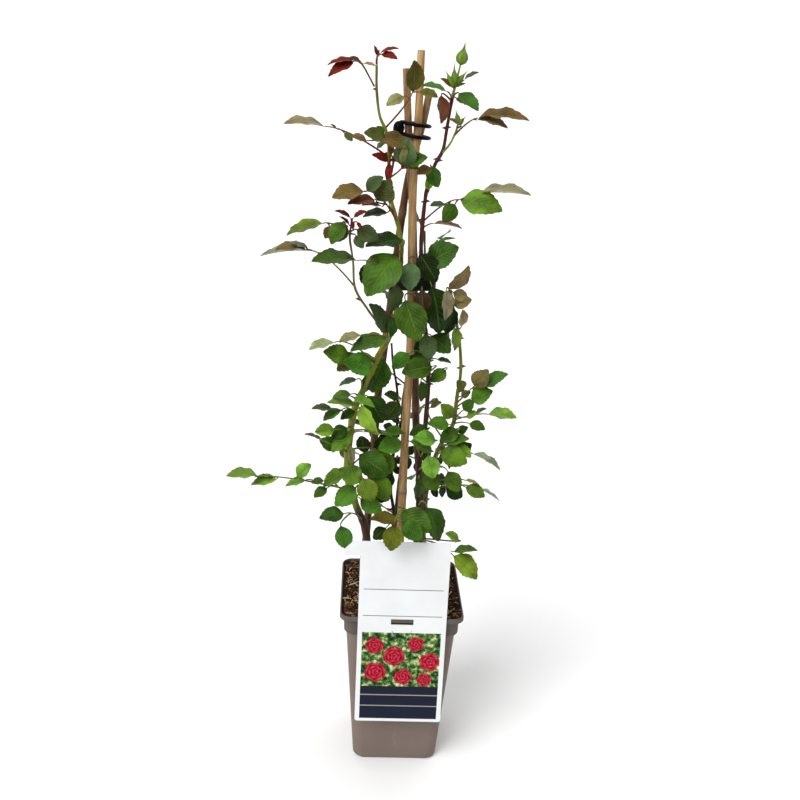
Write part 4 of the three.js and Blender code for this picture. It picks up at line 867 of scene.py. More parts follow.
def pot_plastic():
    paint = Paint("taupe_plastic", {"IOR": 1.46, "Specular IOR Level": 0.14})
    cloud = paint.noise(9.0, detail=4)
    scuff = paint.noise(60.0, detail=5, roughness=0.7, place=paint.place((1, 1, 0.3)))
    colour = paint.ramp(cloud, (0.3, (0.165, 0.125, 0.105)), (0.7, (0.2, 0.155, 0.132)))
    worn = scuff.between(0.6, 0.78) * 0.35
    colour = paint.blend(worn, colour, (0.3, 0.25, 0.22))
    # Above the collar's foot the plastic is painted darker: painted shade under the lip.
    collar_shade = paint.height().between((COLLAR_FOOT - 2) * MM, (COLLAR_FOOT + 1) * MM)
    colour = paint.blend(collar_shade * 0.75, colour, (0.085, 0.075, 0.066))
    paint.feed(base_color=colour, roughness=0.42 + 0.2 * cloud + 0.15 * worn)
    paint.bump(paint.noise(900.0, detail=2) + 2 * scuff, 0.00008, 0.5)
    return paint.material


def peat():
    paint = Paint("peat", {"Roughness": 0.95, "Specular IOR Level": 0.05})
    crumb = paint.noise(260.0, detail=6, roughness=0.7)
    colour = paint.ramp(crumb, (0.3, (0.006, 0.003, 0.002)), (0.5, (0.03, 0.014, 0.008)),
                        (0.66, (0.085, 0.045, 0.025)), (0.8, (0.2, 0.12, 0.07)))
    paint.feed(base_color=colour)
    paint.bump(crumb, 0.003)
    return paint.material


def bark_fibre():
    paint = Paint("bark_fibre", {"Roughness": 0.85, "Specular IOR Level": 0.08})
    grain = paint.noise(700.0, detail=4, roughness=0.6)
    paint.feed(base_color=paint.lit(paint.tint(), 0.55 + 0.9 * grain))
    paint.bump(grain, 0.0006)
    return paint.material


CANE_SHADE = (0.34, 0.26, 0.22)   # how much darker a cane is painted low down, as painted shade
SHADE_REACH = 60                  # half the height over which it turns so


def cane_skin(name, pale, mid, dark, shade_below, joints):
    """Bamboo: fine streaks down its length, brown specks, a dark ring at each joint, and painted shade
    that darkens it low down.
    """
    paint = Paint(name, {"IOR": 1.5, "Specular IOR Level": 0.2})
    streaks = paint.noise(420.0, detail=4, roughness=0.6, place=paint.place((1, 1, 0.03)))
    stains = paint.noise(24.0, detail=5, roughness=0.65, place=paint.place((1, 1, 0.35)))
    specks = paint.noise(330.0, detail=3, place=paint.place((1, 1, 0.5)))
    colour = paint.ramp(streaks * 0.55 + stains * 0.5,
                        (0.38, dark), (0.51, mid), (0.66, pale))
    colour = paint.blend(specks.between(0.68, 0.76) * 0.75, colour, (0.07, 0.03, 0.015))
    height = paint.height()
    # Below a height the cane is painted darker: painted shade low in the plant.
    shaded_low = height.between((shade_below + SHADE_REACH) * MM, (shade_below - SHADE_REACH) * MM)
    colour = paint.blend(shaded_low, colour, paint.blend(1.0, colour, CANE_SHADE, "MULTIPLY"))
    for joint in joints:
        away = abs(height - joint * MM)
        colour = paint.blend(away.between(2.4 * MM, 0.5 * MM) * 0.55, colour, (0.2, 0.1, 0.05))
        colour = paint.blend(away.between(9 * MM, 2.4 * MM) * 0.3, colour, (0.3, 0.17, 0.09))
    paint.feed(base_color=colour, roughness=0.36 + 0.35 * stains)
    paint.bump(streaks, 0.0005, 0.6)
    return paint.material


def cane_pith():
    paint = Paint("cane_pith", {"Roughness": 0.9, "Specular IOR Level": 0.1})
    grain = paint.noise(900.0, detail=3)
    paint.feed(base_color=paint.ramp(grain, (0.3, (0.02, 0.01, 0.006)), (0.7, (0.16, 0.09, 0.05))))
    return paint.material


def rubber():
    """Black on the cord at the top; greyer on the band lower down, where a painted sheen lightens it.
    """
    paint = Paint("black_rubber", {"Specular IOR Level": 0.07})
    cloud = paint.noise(70.0, detail=4)
    colour = paint.ramp(cloud, (0.3, (0.001, 0.001, 0.001)), (0.75, (0.004, 0.004, 0.004)))
    # Lower down, on the band, the black is lightened to grey-green: a painted sheen.
    band_sheen = paint.height().between(700 * MM, 650 * MM)
    colour = paint.blend(band_sheen, colour, (0.02, 0.028, 0.022))
    paint.feed(base_color=colour, roughness=0.28 + 0.25 * cloud)
    paint.bump(paint.noise(600.0), 0.0001, 0.5)
    return paint.material


BARK_BLUR = 90                   # millimetres by which mottling shifts a change of bark


def stem_skin(name, foot, middle, tip, wood_top, tip_from):
    """Rose bark: woody up to one height, green or red above another."""
    paint = Paint(name, {"IOR": 1.45, "Specular IOR Level": 0.2})
    mottle = paint.noise(90.0, detail=4, roughness=0.6)
    streaks = paint.noise(500.0, detail=4, place=paint.place((1, 1, 0.08)))
    height = paint.height() / MM + BARK_BLUR * (mottle - 0.5)
    colour = paint.blend(height.between(wood_top - 20, wood_top + 20), foot, middle)
    colour = paint.blend(height.between(tip_from - 40, tip_from + 40), colour, tip)
    colour = paint.lit(colour, 0.62 + 0.75 * streaks)
    paint.feed(base_color=colour, roughness=0.62 - 0.2 * mottle)
    paint.bump(streaks, 0.0006, 0.7)
    return paint.material


def thorn_skin():
    paint = Paint("thorn", {"Roughness": 0.42, "Specular IOR Level": 0.3})
    cloud = paint.noise(250.0, detail=3)
    paint.feed(base_color=paint.ramp(cloud, (0.3, (0.045, 0.01, 0.008)), (0.75, (0.14, 0.04, 0.025))))
    return paint.material


VEINS = 8                        # side veins on each half of a leaflet
VEIN_SLANT = 0.42


def vein_marks(paint):
    """How near a spot of a leaflet is to its midrib and to a side vein, then how far it
    is from the nearest side vein, and from the midrib."""
    pattern = paint.node("ShaderNodeUVMap", {"uv_map": "blade"})
    across, along, _ = paint.parts(pattern)
    out = abs(across * 2 - 1)
    wave = ((along - VEIN_SLANT * out) * VEINS + 20).fraction()
    away = abs(wave * 2 - 1)
    side = away.between(0.72, 1.0) * (1.15 - out)
    rib = out.between(0.09, 0.015)
    return rib, side, away, out


def leaf_face():
    paint = Paint("leaf_face", {"IOR": 1.42, "Specular IOR Level": 0.14})
    rib, side, away, out = vein_marks(paint)
    patch = paint.noise(45.0, detail=4, roughness=0.6)
    fine = paint.noise(420.0, detail=3)
    light = 0.3 + 0.75 * patch.between(0.3, 0.7) + 0.3 * fine - 0.12 * side + 0.18 * away
    colour = paint.lit(paint.tint(), light)
    colour = paint.blend(rib.higher_of(side * 0.5) * 0.4, colour, (0.16, 0.23, 0.04))
    edge = out.between(0.86, 1.0) * 0.35 * patch
    colour = paint.blend(edge, colour, (0.13, 0.06, 0.012))
    paint.feed(base_color=colour, roughness=0.26 + 0.24 * patch)
    paint.bump((away * 0.55) * (1.2 - out) - rib * 0.8 + 0.12 * fine, 0.0011, 0.8)
    return paint.material


def leaf_back():
    paint = Paint("leaf_back", {"IOR": 1.4, "Specular IOR Level": 0.1})
    rib, side, _, _ = vein_marks(paint)
    patch = paint.noise(60.0, detail=3)
    colour = paint.blend(0.32, paint.tint(), (0.2, 0.23, 0.11))
    colour = paint.lit(colour, 0.75 + 0.5 * patch)
    colour = paint.blend(rib.higher_of(side) * 0.5, colour, (0.34, 0.4, 0.2))
    paint.feed(base_color=colour, roughness=0.55 + 0.15 * patch)
    paint.bump(rib + side * 0.6, 0.0008, 0.8)
    return paint.material


def stalk_skin():
    paint = Paint("leaf_stalk", {"Roughness": 0.5, "Specular IOR Level": 0.2})
    cloud = paint.noise(38.0, detail=3)
    share = cloud + 0.28 * paint.height().between(560 * MM, 720 * MM)
    paint.feed(base_color=paint.ramp(share, (0.4, (0.14, 0.22, 0.025)), (0.58, (0.16, 0.12, 0.025)),
                                     (0.74, (0.15, 0.03, 0.016))))
    return paint.material


def bud_skin():
    paint = Paint("bud_skin", {"Roughness": 0.5, "Specular IOR Level": 0.15})
    streaks = paint.noise(330.0, detail=3, place=paint.place((1, 1, 0.12)))
    paint.feed(base_color=paint.ramp(streaks, (0.3, (0.07, 0.15, 0.012)), (0.6, (0.17, 0.28, 0.03)),
                                     (0.8, (0.33, 0.27, 0.09))))
    paint.bump(streaks, 0.0005, 0.6)
    return paint.material


# Colours of the leaves' upper faces, and how much each leaflet strays from them. The dark and umber
# tints are partly painted shade, for leaves deep in the plant's shadow.
TINTS = {
    "green": (0.056, 0.140, 0.009),
    "bright": (0.158, 0.295, 0.024),
    "deep": (0.027, 0.075, 0.005),
    "dark": (0.009, 0.032, 0.003),
    "olive": (0.118, 0.120, 0.020),
    "bronze": (0.150, 0.100, 0.026),
    "russet": (0.210, 0.062, 0.022),
    "red": (0.190, 0.012, 0.009),
    "grey": (0.062, 0.105, 0.036),
    "beige": (0.300, 0.220, 0.110),
    "pale": (0.260, 0.300, 0.130),
    "khaki": (0.235, 0.195, 0.082),
    "lime": (0.130, 0.180, 0.010),
    "umber": (0.048, 0.025, 0.008),
}
TINT_STRAY = 0.36
WARMTH_STRAY = 0.7               # as a share of the first


def leaf_tint(name, draw):
    bright = 1 + TINT_STRAY * vary(draw + 0.71)
    warm = 1 + TINT_STRAY * WARMTH_STRAY * vary(draw + 0.37)
    red, green, blue = TINTS[name]
    return red * bright * warm, green * bright, blue * bright / warm


# --------------------------------------------------------------- templates

BLADE_THICKNESS = 0.016          # as a share of a leaflet's length
TOOTH_OUT = 0.045
TOOTH_UP = 0.018

# A leaflet's outline from foot to tip: how far along, and its half width there.
BLADE_OUTLINE = ((0, 0.05), (0.06, 0.32), (0.14, 0.62), (0.25, 0.88), (0.36, 0.99), (0.46, 1.0),
                 (0.58, 0.95), (0.7, 0.8), (0.8, 0.61), (0.88, 0.4), (0.94, 0.2), (1, 0.015))


def leaflet_blade(name, columns, rows):
    """One flat leaflet from its foot at the origin: saw-toothed, with an underside."""
    bpy.ops.mesh.primitive_grid_add(x_subdivisions=columns, y_subdivisions=rows, size=2)
    blade = take_up()
    bpy.ops.transform.resize(value=(1, 0.5, 1), center_override=(0, 0, 0))
    bpy.ops.transform.translate(value=(0, 0.5, 0))
    near = 0.2 / rows
    for row in range(rows + 1):
        share = row / rows
        width = value_at(BLADE_OUTLINE, share)
        pick_points(blade, lambda p: abs(p.y - share) < near)
        bpy.ops.transform.resize(value=(width, 1, 1), center_override=(0, share, 0))
    for row in range(1, rows, 2):
        share = row / rows
        edge = value_at(BLADE_OUTLINE, share) * 0.999
        for side in (1, -1):
            pick_points(blade, lambda p: abs(p.y - share) < near and p.x * side >= edge)
            bpy.ops.transform.translate(value=(side * TOOTH_OUT, TOOTH_UP, 0))
    bpy.ops.mesh.select_all(action="SELECT")
    bpy.ops.mesh.duplicate()
    bpy.ops.mesh.flip_normals()
    bpy.ops.transform.translate(value=(0, 0, -BLADE_THICKNESS))
    bpy.ops.mesh.select_mode(type="VERT")
    bpy.ops.mesh.select_all(action="DESELECT")
    bpy.ops.mesh.select_non_manifold(extend=False, use_wire=False, use_boundary=True,
                                     use_multi_face=False, use_non_contiguous=False, use_verts=False)
    bpy.ops.mesh.remove_doubles(threshold=BLADE_THICKNESS * 1.05)
    leave_edit()
    for face in blade.data.polygons:
        face.material_index = 1 if face.normal.z < 0 else 0
    blade.name = name
    return Template(blade)


THORN_SIDES = 6
THORN_FOOT = (0.62, 1.45, 1)     # how its round foot is pulled to an oval
# Each length of a thorn: its rise, the share it narrows to, and its bend.
THORN_BENDS = ((0.3, 0.66, 0.05), (0.3, 0.6, -0.1), (0.25, 0.45, -0.2), (0.15, 0.2, -0.22))


def thorn_spike():
    """A hooked thorn on the origin that points along +Z, its hook bent towards -Y."""
    bpy.ops.mesh.primitive_circle_add(vertices=THORN_SIDES, radius=1, fill_type="NGON")
    spike = take_up()
    bpy.ops.transform.resize(value=THORN_FOOT)
    for rise, narrow, bend in THORN_BENDS:
        extrude(rise, bend)
        bpy.ops.transform.resize(value=(narrow, narrow, 1))
    leave_edit()
    return Template(spike)


CHIP_BEND = 0.1                  # how far from its middle a chip is bent


def bark_chip():
    """A sliver of bark, 1 long, that lies along X: thin ends and a bend between them."""
    bpy.ops.mesh.primitive_cube_add(size=1)
    chip = take_up()
    bpy.ops.transform.resize(value=(1, 0.2, 0.09))
    pick_faces(chip, lambda f: f.normal.x > 0.9)
    bpy.ops.transform.resize(value=(1, 0.35, 0.6))
    pick_faces(chip, lambda f: f.normal.x < -0.9)
    bpy.ops.transform.resize(value=(1, 0.7, 0.8))
    bpy.ops.mesh.select_all(action="SELECT")
    bpy.ops.mesh.bisect(plane_co=(CHIP_BEND, 0, 0), plane_no=(1, 0, 0))
    pick_points(chip, lambda p: abs(p.x - CHIP_BEND) < 0.01)
    bpy.ops.transform.resize(value=(1, 1.2, 1))
    bpy.ops.transform.translate(value=(0, 0.05, 0.07))
    leave_edit()
    return Template(chip)


# ------------------------------------------------------------------ the pot


def rounded_start(width, corner, height):
    """A flat rounded square, chosen all over in edit mode."""
    bpy.ops.mesh.primitive_plane_add(size=width * MM, location=(0, 0, 0))
    plate = take_up()
    bpy.ops.mesh.bevel(offset=corner * MM, segments=CORNER_STEPS, affect="VERTICES",
                       profile=0.5)
    bpy.ops.mesh.select_all(action="SELECT")
    bpy.ops.transform.translate(value=(0, 0, height * MM))
    return plate


def body_width(height):
    return BASE_WIDTH + (BODY_TOP_WIDTH - BASE_WIDTH) * height / COLLAR_FOOT


def pot_body():
    """The tapered body with its floor, up to just inside the collar."""
    top = COLLAR_FOOT + 1
    levels = [(0, BASE_WIDTH - 5), (1.4, BASE_WIDTH - 2.6), (4.5, body_width(4.5)),
              (60, body_width(60)), (120, body_width(120)), (top, body_width(top)),
              (top, body_width(COLLAR_FOOT) - 2 * WALL),
              (FLOOR_THICKNESS, body_width(FLOOR_THICKNESS) - 2 * WALL)]
    body = rounded_start(levels[0][1], BODY_CORNER, 0)
    draw_up(levels)
    close_up(body)
    return body


def pot_collar():
    """The collar and the lip, as one ring: up its outside and down its inside."""
    lip_inner, collar_inner = LIP_WIDTH - 2 * WALL, COLLAR_WIDTH - 2 * WALL
    levels = [(COLLAR_FOOT, BODY_TOP_WIDTH - 3), (COLLAR_FOOT, COLLAR_WIDTH - 3),
              (COLLAR_FOOT + 1.5, COLLAR_WIDTH - 1.2), (LIP_FOOT - 0.5, COLLAR_WIDTH),
              (LIP_FOOT, LIP_WIDTH - 2), (LIP_FOOT + 1.4, LIP_WIDTH),
              (POT_HEIGHT - 1.8, LIP_WIDTH), (POT_HEIGHT, LIP_WIDTH - 2.2),
              (POT_HEIGHT, lip_inner + 1.4), (POT_HEIGHT - 1.2, lip_inner),
              (LIP_FOOT + WALL, lip_inner), (LIP_FOOT + WALL, collar_inner),
              (COLLAR_FOOT + 2, collar_inner - 2), (COLLAR_FOOT, BODY_TOP_WIDTH - 3)]
    collar = rounded_start(levels[0][1], COLLAR_CORNER, COLLAR_FOOT)
    draw_up(levels)
    # The plates that start and end it are taken out, and its rims are joined.
    bpy.ops.mesh.delete(type="FACE")
    pick_faces(collar, lambda f: abs(f.normal.z) > 0.9 and f.area > (100 * MM) ** 2)
    bpy.ops.mesh.delete(type="FACE")
    bpy.ops.mesh.select_all(action="SELECT")
    bpy.ops.mesh.remove_doubles(threshold=0.05 * MM)
    close_up(collar)
    return collar


def make_pot(plastic):
    body, collar = pot_body(), pot_collar()
    bpy.ops.object.select_all(action="DESELECT")
    for x in (DRAIN_OFFSET, -DRAIN_OFFSET):
        for y in (DRAIN_OFFSET, -DRAIN_OFFSET):
            bpy.ops.mesh.primitive_cylinder_add(
                vertices=DRAIN_SIDES, radius=DRAIN_RADIUS * MM, depth=4 * FLOOR_THICKNESS * MM,
                location=(x * MM, y * MM, 0))
            drill = bpy.context.view_layer.objects.active
            apply_modifier(body, "BOOLEAN", operation="DIFFERENCE", object=drill, solver="EXACT")
            bpy.data.objects.remove(drill)
    pot = join("pot_shell", [body, collar])
    apply_modifier(pot, "BEVEL", width=0.7 * MM, segments=2, limit_method="ANGLE",
                   angle_limit=math.radians(32))
    dress(pot, plastic)
    settle(pot, 35)
    finish_piece(pot, "pot_plastic", "pot")


# ----------------------------------------------------------------- the soil

CHIPS = 1900
CHIP_MARGIN = 3.5                # from the wall to the nearest chip's middle
CHIP_LENGTH, CHIP_LENGTH_VARIES = 7, 4.5
CHIP_DEPTH, CHIP_DEPTH_VARIES = 0.8, 0.3       # as a share of its length
CHIP_LIFT, CHIP_LIFT_VARIES = 1.2, 1.3         # above the soil
CHIP_TIP, CHIP_ROLL = 0.55, 1.2                # radians, at most
CHIP_TINTS = ((0.014, 0.006, 0.003), (0.05, 0.019, 0.009), (0.11, 0.045, 0.019),
              (0.22, 0.105, 0.045), (0.38, 0.23, 0.12), (0.56, 0.41, 0.26))


def make_chips(fibre):
    """Bark chips and fibres strewn over the soil."""
    chip = bark_chip()
    strewn = Gathering()
    half = LIP_WIDTH / 2 - WALL - CHIP_MARGIN
    for i in range(CHIPS):
        x, y = half * vary(i + 0.11), half * vary(i + 0.47)
        length = CHIP_LENGTH + CHIP_LENGTH_VARIES * vary(i + 0.23)
        depth = length * (CHIP_DEPTH + CHIP_DEPTH_VARIES * vary(i + 0.31))
        z = SOIL_TOP + CHIP_LIFT + CHIP_LIFT_VARIES * vary(i + 0.83)
        turn = Matrix.Rotation(math.pi * vary(i + 0.59), 4, "Z")
        tip = Matrix.Rotation(CHIP_TIP * vary(i + 0.67), 4, "Y")
        roll = Matrix.Rotation(CHIP_ROLL * vary(i + 0.73), 4, "X")
        size = Matrix.Diagonal((length, depth, depth, 1))
        shade = CHIP_TINTS[int((vary(i + 0.91) + 1) / 2 * len(CHIP_TINTS) * 0.999)]
        strewn.stamp(chip, Matrix.Translation((x, y, z)) @ turn @ tip @ roll @ size, shade)
    finish_piece(strewn.piece("peat_chips", fibre, angle=30), "peat")


# ---------------------------------------------------------------- the canes

# How a joint swells: heights from its middle, each with its share of the swelling.
JOINT_PROFILE = ((-9, 0.0), (-5, 0.25), (-2.6, 0.7), (-1.2, 1.0), (-0.4, 0.45), (0.4, 0.45),
                 (1.2, 0.95), (2.6, 0.6), (6, 0.2), (10, 0.0))
JOINT_SWELL = 0.8
CANE_STEPS = 60
CANE_WALL = 1.3                  # from its skin to its hollow, at its cut top
CANE_HOLLOW = 7                  # how deep the hollow is


def cane_radius(cane, share, height):
    low, high = cane["radius"]
    swell = sum(value_at(JOINT_PROFILE, height - joint) for joint in cane["joints"])
    return low + (high - low) * share + JOINT_SWELL * swell


def make_cane(name, skin, pith):
    cane = CANES[name]
    line = cane["line"]
    shares = {i / CANE_STEPS for i in range(CANE_STEPS + 1)}
    for joint in cane["joints"]:
        shares |= {share_at_height(line, joint + off) for off, _ in JOINT_PROFILE}
    shares = sorted(shares)
    points = [point_along(line, share) for share in shares]
    radii = [cane_radius(cane, share, p.z) for share, p in zip(shares, points)]
    bar = rods(name.replace("cane", "bamboo"), [(points, radii, False)], 4)
    dress(bar, skin, pith)
    # Its cut top is the one face with many corners up there.
    top = max(v.co.z for v in bar.data.vertices)
    pick_faces(bar, lambda f: len(f.vertices) > 8 and f.center.z > top - 5 * MM)
    bpy.ops.mesh.inset(thickness=CANE_WALL * MM)
    extrude(-CANE_HOLLOW * MM)
    bar.active_material_index = 1
    bpy.ops.object.material_slot_assign()
    leave_edit()
    settle(bar, 40)
    finish_piece(bar, "bamboo", name)


# ----------------------------------------------------------------- the ties


def make_top_tie(black):
    """Two loops of cord round the canes, and the ball that holds them."""
    loops = []
    for height in TIE_HEIGHTS:
        line = [(x, y, height - TIE_SLOPE * (x - TIE_LEVEL_AT)) for x, y in TIE_LOOP]
        points = [point_along(line, i / TIE_LOOP_POINTS, closed=True)
                  for i in range(TIE_LOOP_POINTS)]
        loops.append((points, [TIE_CORD] * TIE_LOOP_POINTS, True))
    cords = rods("cords", loops, 3)
    bpy.ops.object.select_all(action="DESELECT")
    bpy.ops.mesh.primitive_uv_sphere_add(segments=28, ring_count=16, radius=TIE_BALL_RADIUS * MM)
    ball = take_up()
    bpy.ops.transform.resize(value=(1, 1, TIE_BALL_STRETCH))
    for side in (1, -1):
        height = side * TIE_BALL_RADIUS * TIE_BALL_STRETCH * MM
        pick_points(ball, lambda p: (p.z - height * TIE_BALL_ENDS) * side > 0)
        bpy.ops.transform.resize(value=(0.8, 0.8, 0.5), center_override=(0, 0, height))
    bpy.ops.mesh.select_all(action="SELECT")
    bpy.ops.transform.translate(value=tuple(c * MM for c in TIE_BALL))
    leave_edit()
    tie = join("tie_cord", [cords, ball])
    dress(tie, black)
    settle(tie, 50)
    finish_piece(tie, "black_rubber", "top_tie")


def make_band(black):
    """A flat rubber band: a plain ring drawn up, then pulled to its squarish oval."""
    bpy.ops.mesh.primitive_circle_add(vertices=BAND_POINTS, radius=1, fill_type="NOTHING")
    band = take_up()
    for rise in (0.25, 0.5, 0.25):
        extrude(rise)
    leave_edit()
    middle = (BAND_LOW + BAND_HIGH) / 2
    power = 2 / BAND_SQUARENESS
    for v in band.data.vertices:
        angle = math.atan2(v.co.y, v.co.x)
        c, s = math.cos(angle), math.sin(angle)
        crown = BAND_CROWN * math.cos((v.co.z - 0.5) * math.pi)
        x = (BAND_HALF[0] - BAND_THICKNESS + crown) * math.copysign(abs(c) ** power, c)
        y = (BAND_HALF[1] - BAND_THICKNESS + crown) * math.copysign(abs(s) ** power, s)
        z = middle + (v.co.z - 0.5) * (BAND_HIGH - BAND_LOW)
        v.co = Vector((BAND_CENTRE[0] + x, BAND_CENTRE[1] + y, z)) * MM
    apply_modifier(band, "SOLIDIFY", thickness=(BAND_THICKNESS - BAND_EDGE) * MM, offset=1.0)
    apply_modifier(band, "BEVEL", width=BAND_EDGE * MM, segments=2, limit_method="ANGLE")
    band.name = "rubber_band"
    dress(band, black)
    close_up(band, 50)
    finish_piece(band, "black_rubber", "middle_band")


# ----------------------------------------------------------------- the rose

# Where a shoot's bark meets the stem that it grows on, if its own line stops short.
HEELS = {"bud_spray": (18.9, -10.6, 757)}

STEM_STEPS = 12                  # for each point of a stem's line
STEM_TAPER = 0.8
KNUCKLE = 0.16                   # how much thicker a stem is where a leaf leaves it
KNUCKLE_REACH = 3.5
# How a stem's thickness wavers: by how much, how fast with its height, and from where.
WAVERS = ((0.05, 0.21, 0), (0.04, 0.083, 2))

THORN_SIZE, THORN_VARIES = 2.9, 0.5
THORN_SHAPE = (0.55, 0.62, 2.05)               # width, depth and length for a size of 1
THORN_RISE = 0.12                # how far it points upwards
PLAIN = (1, 1, 1)                # the tint of what has a colour of its own


class Growth:
    """All that one stem carries: its bar, leaf stalks, thorns and leaflets."""

    def __init__(self, name, stem, habit, blades, spike):
        self.name, self.stem, self.habit = name, stem, habit
        self.blades, self.spike = blades, spike
        self.leaflets, self.thorns, self.stalks = Gathering(), Gathering(), []

    def at(self, place):
        """A height on the stem, or a point of its own."""
        if isinstance(place, tuple):
            return Vector(place)
        line = self.stem["line"]
        return point_along(line, share_at_height(line, place))

    def leaflet(self, start, directions, length, tint, draw):
        """One leaflet, folded along its midrib, drooping, and curled in its own way."""
        along, across, face = (np.array(v) for v in directions)
        habit = self.habit
        blade = self.blades[0] if length > FINE_FROM else self.blades[1]
        x, y, z = blade.points.T
        half = length * habit["width"] / 2 * (1 + WIDTH_VARIES * vary(draw + 0.17))
        wide = x * half
        curl = CURL * vary(draw + 0.43)
        wave = np.sin(2 * math.pi * (RIPPLES * y + vary(draw + 0.29)))
        ripple = RIPPLE * wave * np.abs(x) ** 1.5
        lift = (habit["fold"] * np.abs(wide) - habit["droop"] * length * y ** 2
                - CUP * length * np.abs(x) ** 2.5 * np.sin(math.pi * np.clip(y, 0, 1))
                + length * (ripple + curl * x * y) + length * z)
        points = (np.array(start) + wide[:, None] * across + (length * y)[:, None] * along
                  + lift[:, None] * face)
        self.leaflets.lay(blade, points, leaf_tint(tint, draw))

    def leaf(self, base, foot, tip, leaflets, up, seed, tint):
        """One leaf: a stalk from base to foot, a leaflet on to its tip, and pairs of them."""
        habit = self.habit
        blade = tip - foot
        size = blade.length
        reach = foot - base
        stalk_length = reach.length
        ahead = reach.normalized()
        rise = Vector((0, 0, 1)) - ahead * ahead.z
        bow = (foot - blade * (STALK_BEND * stalk_length / size)
               + rise * (habit["arch"] * stalk_length))

        def on_stalk(share):
            return ((1 - share) ** 2) * base + 2 * share * (1 - share) * bow + share ** 2 * foot

        def stalk_heading(share):
            return (1 - share) * (bow - base) + share * (foot - bow)

        shares = [i / STALK_STEPS for i in range(STALK_STEPS + 1)]
        radii = [STALK_START + (STALK_END - STALK_START) * s for s in shares]
        self.stalks.append(([on_stalk(s) for s in shares], radii, False))
        pairs = (leaflets - 1) // 2
        wanted = PAIR_SPACING * size
        spacing = min(wanted, stalk_length / (pairs + STALK_SPARE))
        crowding = 1 - spacing / wanted
        for pair in range(pairs - 1, -1, -1):
            share = 1 - spacing * (pair + FIRST_PAIR) / stalk_length
            along, across, face = frame_along(stalk_heading(share), up)
            crowded_sag = PAIR_SAG["odd_crowded" if pair % 2 else "even_crowded"]
            for side in (1, -1):
                draw = seed + pair * 2 + side
                length = size * (PAIR_LENGTH["first"] - PAIR_LENGTH["further"] * pair
                                 + PAIR_LENGTH["varies"] * vary(draw))
                length *= 1 - PAIR_LENGTH["crowded"] * crowding
                spread = math.radians(
                    habit["spread"] + PAIR_SPREAD["crowded"] * crowding
                    + PAIR_SPREAD["further"] * pair + PAIR_SPREAD["varies"] * vary(draw + 0.3))
                sag = habit["sag"] + crowded_sag * crowding + PAIR_SAG["varies"] * vary(draw + 0.6)
                heading = (along * math.cos(spread) + across * (side * math.sin(spread))
                           + face * sag)
                start = on_stalk(share) + across * (side * LEAFLET_SEAT)
                self.leaflet(start, frame_along(heading, face), length, tint, draw)
        self.leaflet(foot, frame_along(blade, up), size, tint, seed)

    def grow(self):
        """Lays the stem's thorns, and all of its leaves."""
        for height, degrees in self.stem["thorns"]:
            angle = math.radians(degrees)
            out = Vector((math.cos(angle), math.sin(angle), THORN_RISE)).normalized()
            across = Vector((0, 0, 1)).cross(out).normalized()
            turn = Matrix((across, out.cross(across), out)).transposed().to_4x4()
            size = THORN_SIZE + THORN_VARIES * vary(height)
            shape = Matrix.Diagonal((*(size * share for share in THORN_SHAPE), 1))
            place = Matrix.Translation(self.at(height))
            self.thorns.stamp(self.spike, place @ turn @ shape, PLAIN)
        for row, (place, foot, tip, leaflets, face, lean, tint) in enumerate(LEAVES[self.name]):
            self.leaf(self.at(place), Vector(foot), Vector(tip), leaflets, facing(face, lean),
                      row * 10, tint)

    def bar(self):
        """The stem itself, tapered, with a knuckle wherever a leaf leaves it."""
        line = self.stem["line"]
        low, high = self.stem["radius"]
        steps = STEM_STEPS * len(line)
        shares = [i / steps for i in range(steps + 1)]
        points = [point_along(line, s) for s in shares]
        if self.name in HEELS:
            points[0] = Vector(HEELS[self.name])
        nodes = [row[0] for row in LEAVES[self.name] if not isinstance(row[0], tuple)]
        radii = []
        for share, p in zip(shares, points):
            knuckle = max(math.exp(-((p.z - node) / KNUCKLE_REACH) ** 2) for node in nodes)
            waver = sum(size * math.sin(p.z * rate + start) for size, rate, start in WAVERS)
            radius = low + (high - low) * share ** STEM_TAPER
            radii.append(radius * (1 + waver + KNUCKLE * knuckle))
        return rods("bar", [(points, radii, False)], 3)

    def make(self, skins, slot):
        """The wood and the leaves of this stem, as two pieces."""
        self.grow()
        bark, stalk, thorn, face, back = skins
        bar = self.bar()
        dress(bar, bark)
        twigs = rods("twigs", self.stalks, 1)
        dress(twigs, stalk)
        parts = [bar, twigs]
        if self.stem["thorns"]:
            parts.append(self.thorns.piece("thorns", thorn))
        wood = join(self.name + "_wood", parts)
        settle(wood, 50)
        finish_piece(wood, slot, self.name)
        leaves = self.leaflets.piece(self.name + "_leaves", face, back)
        finish_piece(leaves, slot, self.name)


# A bud from its foot to its point: how far along, and its radius there.
BUD_LEVELS = ((0, 0.16), (0.04, 0.5), (0.1, 0.78), (0.2, 0.97), (0.29, 1.0), (0.38, 0.88),
              (0.46, 0.66), (0.53, 0.4), (0.6, 0.2), (0.68, 0.11), (0.76, 0.07))
BUD_SIDES = 20
BUD_INSIDE = 0.97                # radius of what the sepals close round, in the bud's radii
SEPALS = 5
SEPAL_REACH, SEPAL_VARIES = 0.96, 0.08         # how far up the bud each comes
SEPAL_WIDTH = 0.85
SEPAL_TAPER = 0.35
SEPAL_WRAP = 0.72                # radians round the bud for a width of 1
SEPAL_CLEAR = 0.07               # how far it stands off the bud, in the bud's radii
SEPAL_DEPTH = 1.2
CLOSED_FROM = 0.7                # how far up the sepals start to lie together
CLOSED_BY = 0.6                  # and how fast they then draw in


def bud_shape():
    """A closed bud, 1 long and of radius 1, on the origin, pointing along +Z."""
    bpy.ops.mesh.primitive_circle_add(vertices=BUD_SIDES, radius=BUD_LEVELS[0][1],
                                      fill_type="NGON")
    bud = take_up()
    draw_up(BUD_LEVELS, unit=1)
    bpy.ops.mesh.select_all(action="SELECT")
    bpy.ops.mesh.normals_make_consistent(inside=False)
    leave_edit()
    return Template(bud)


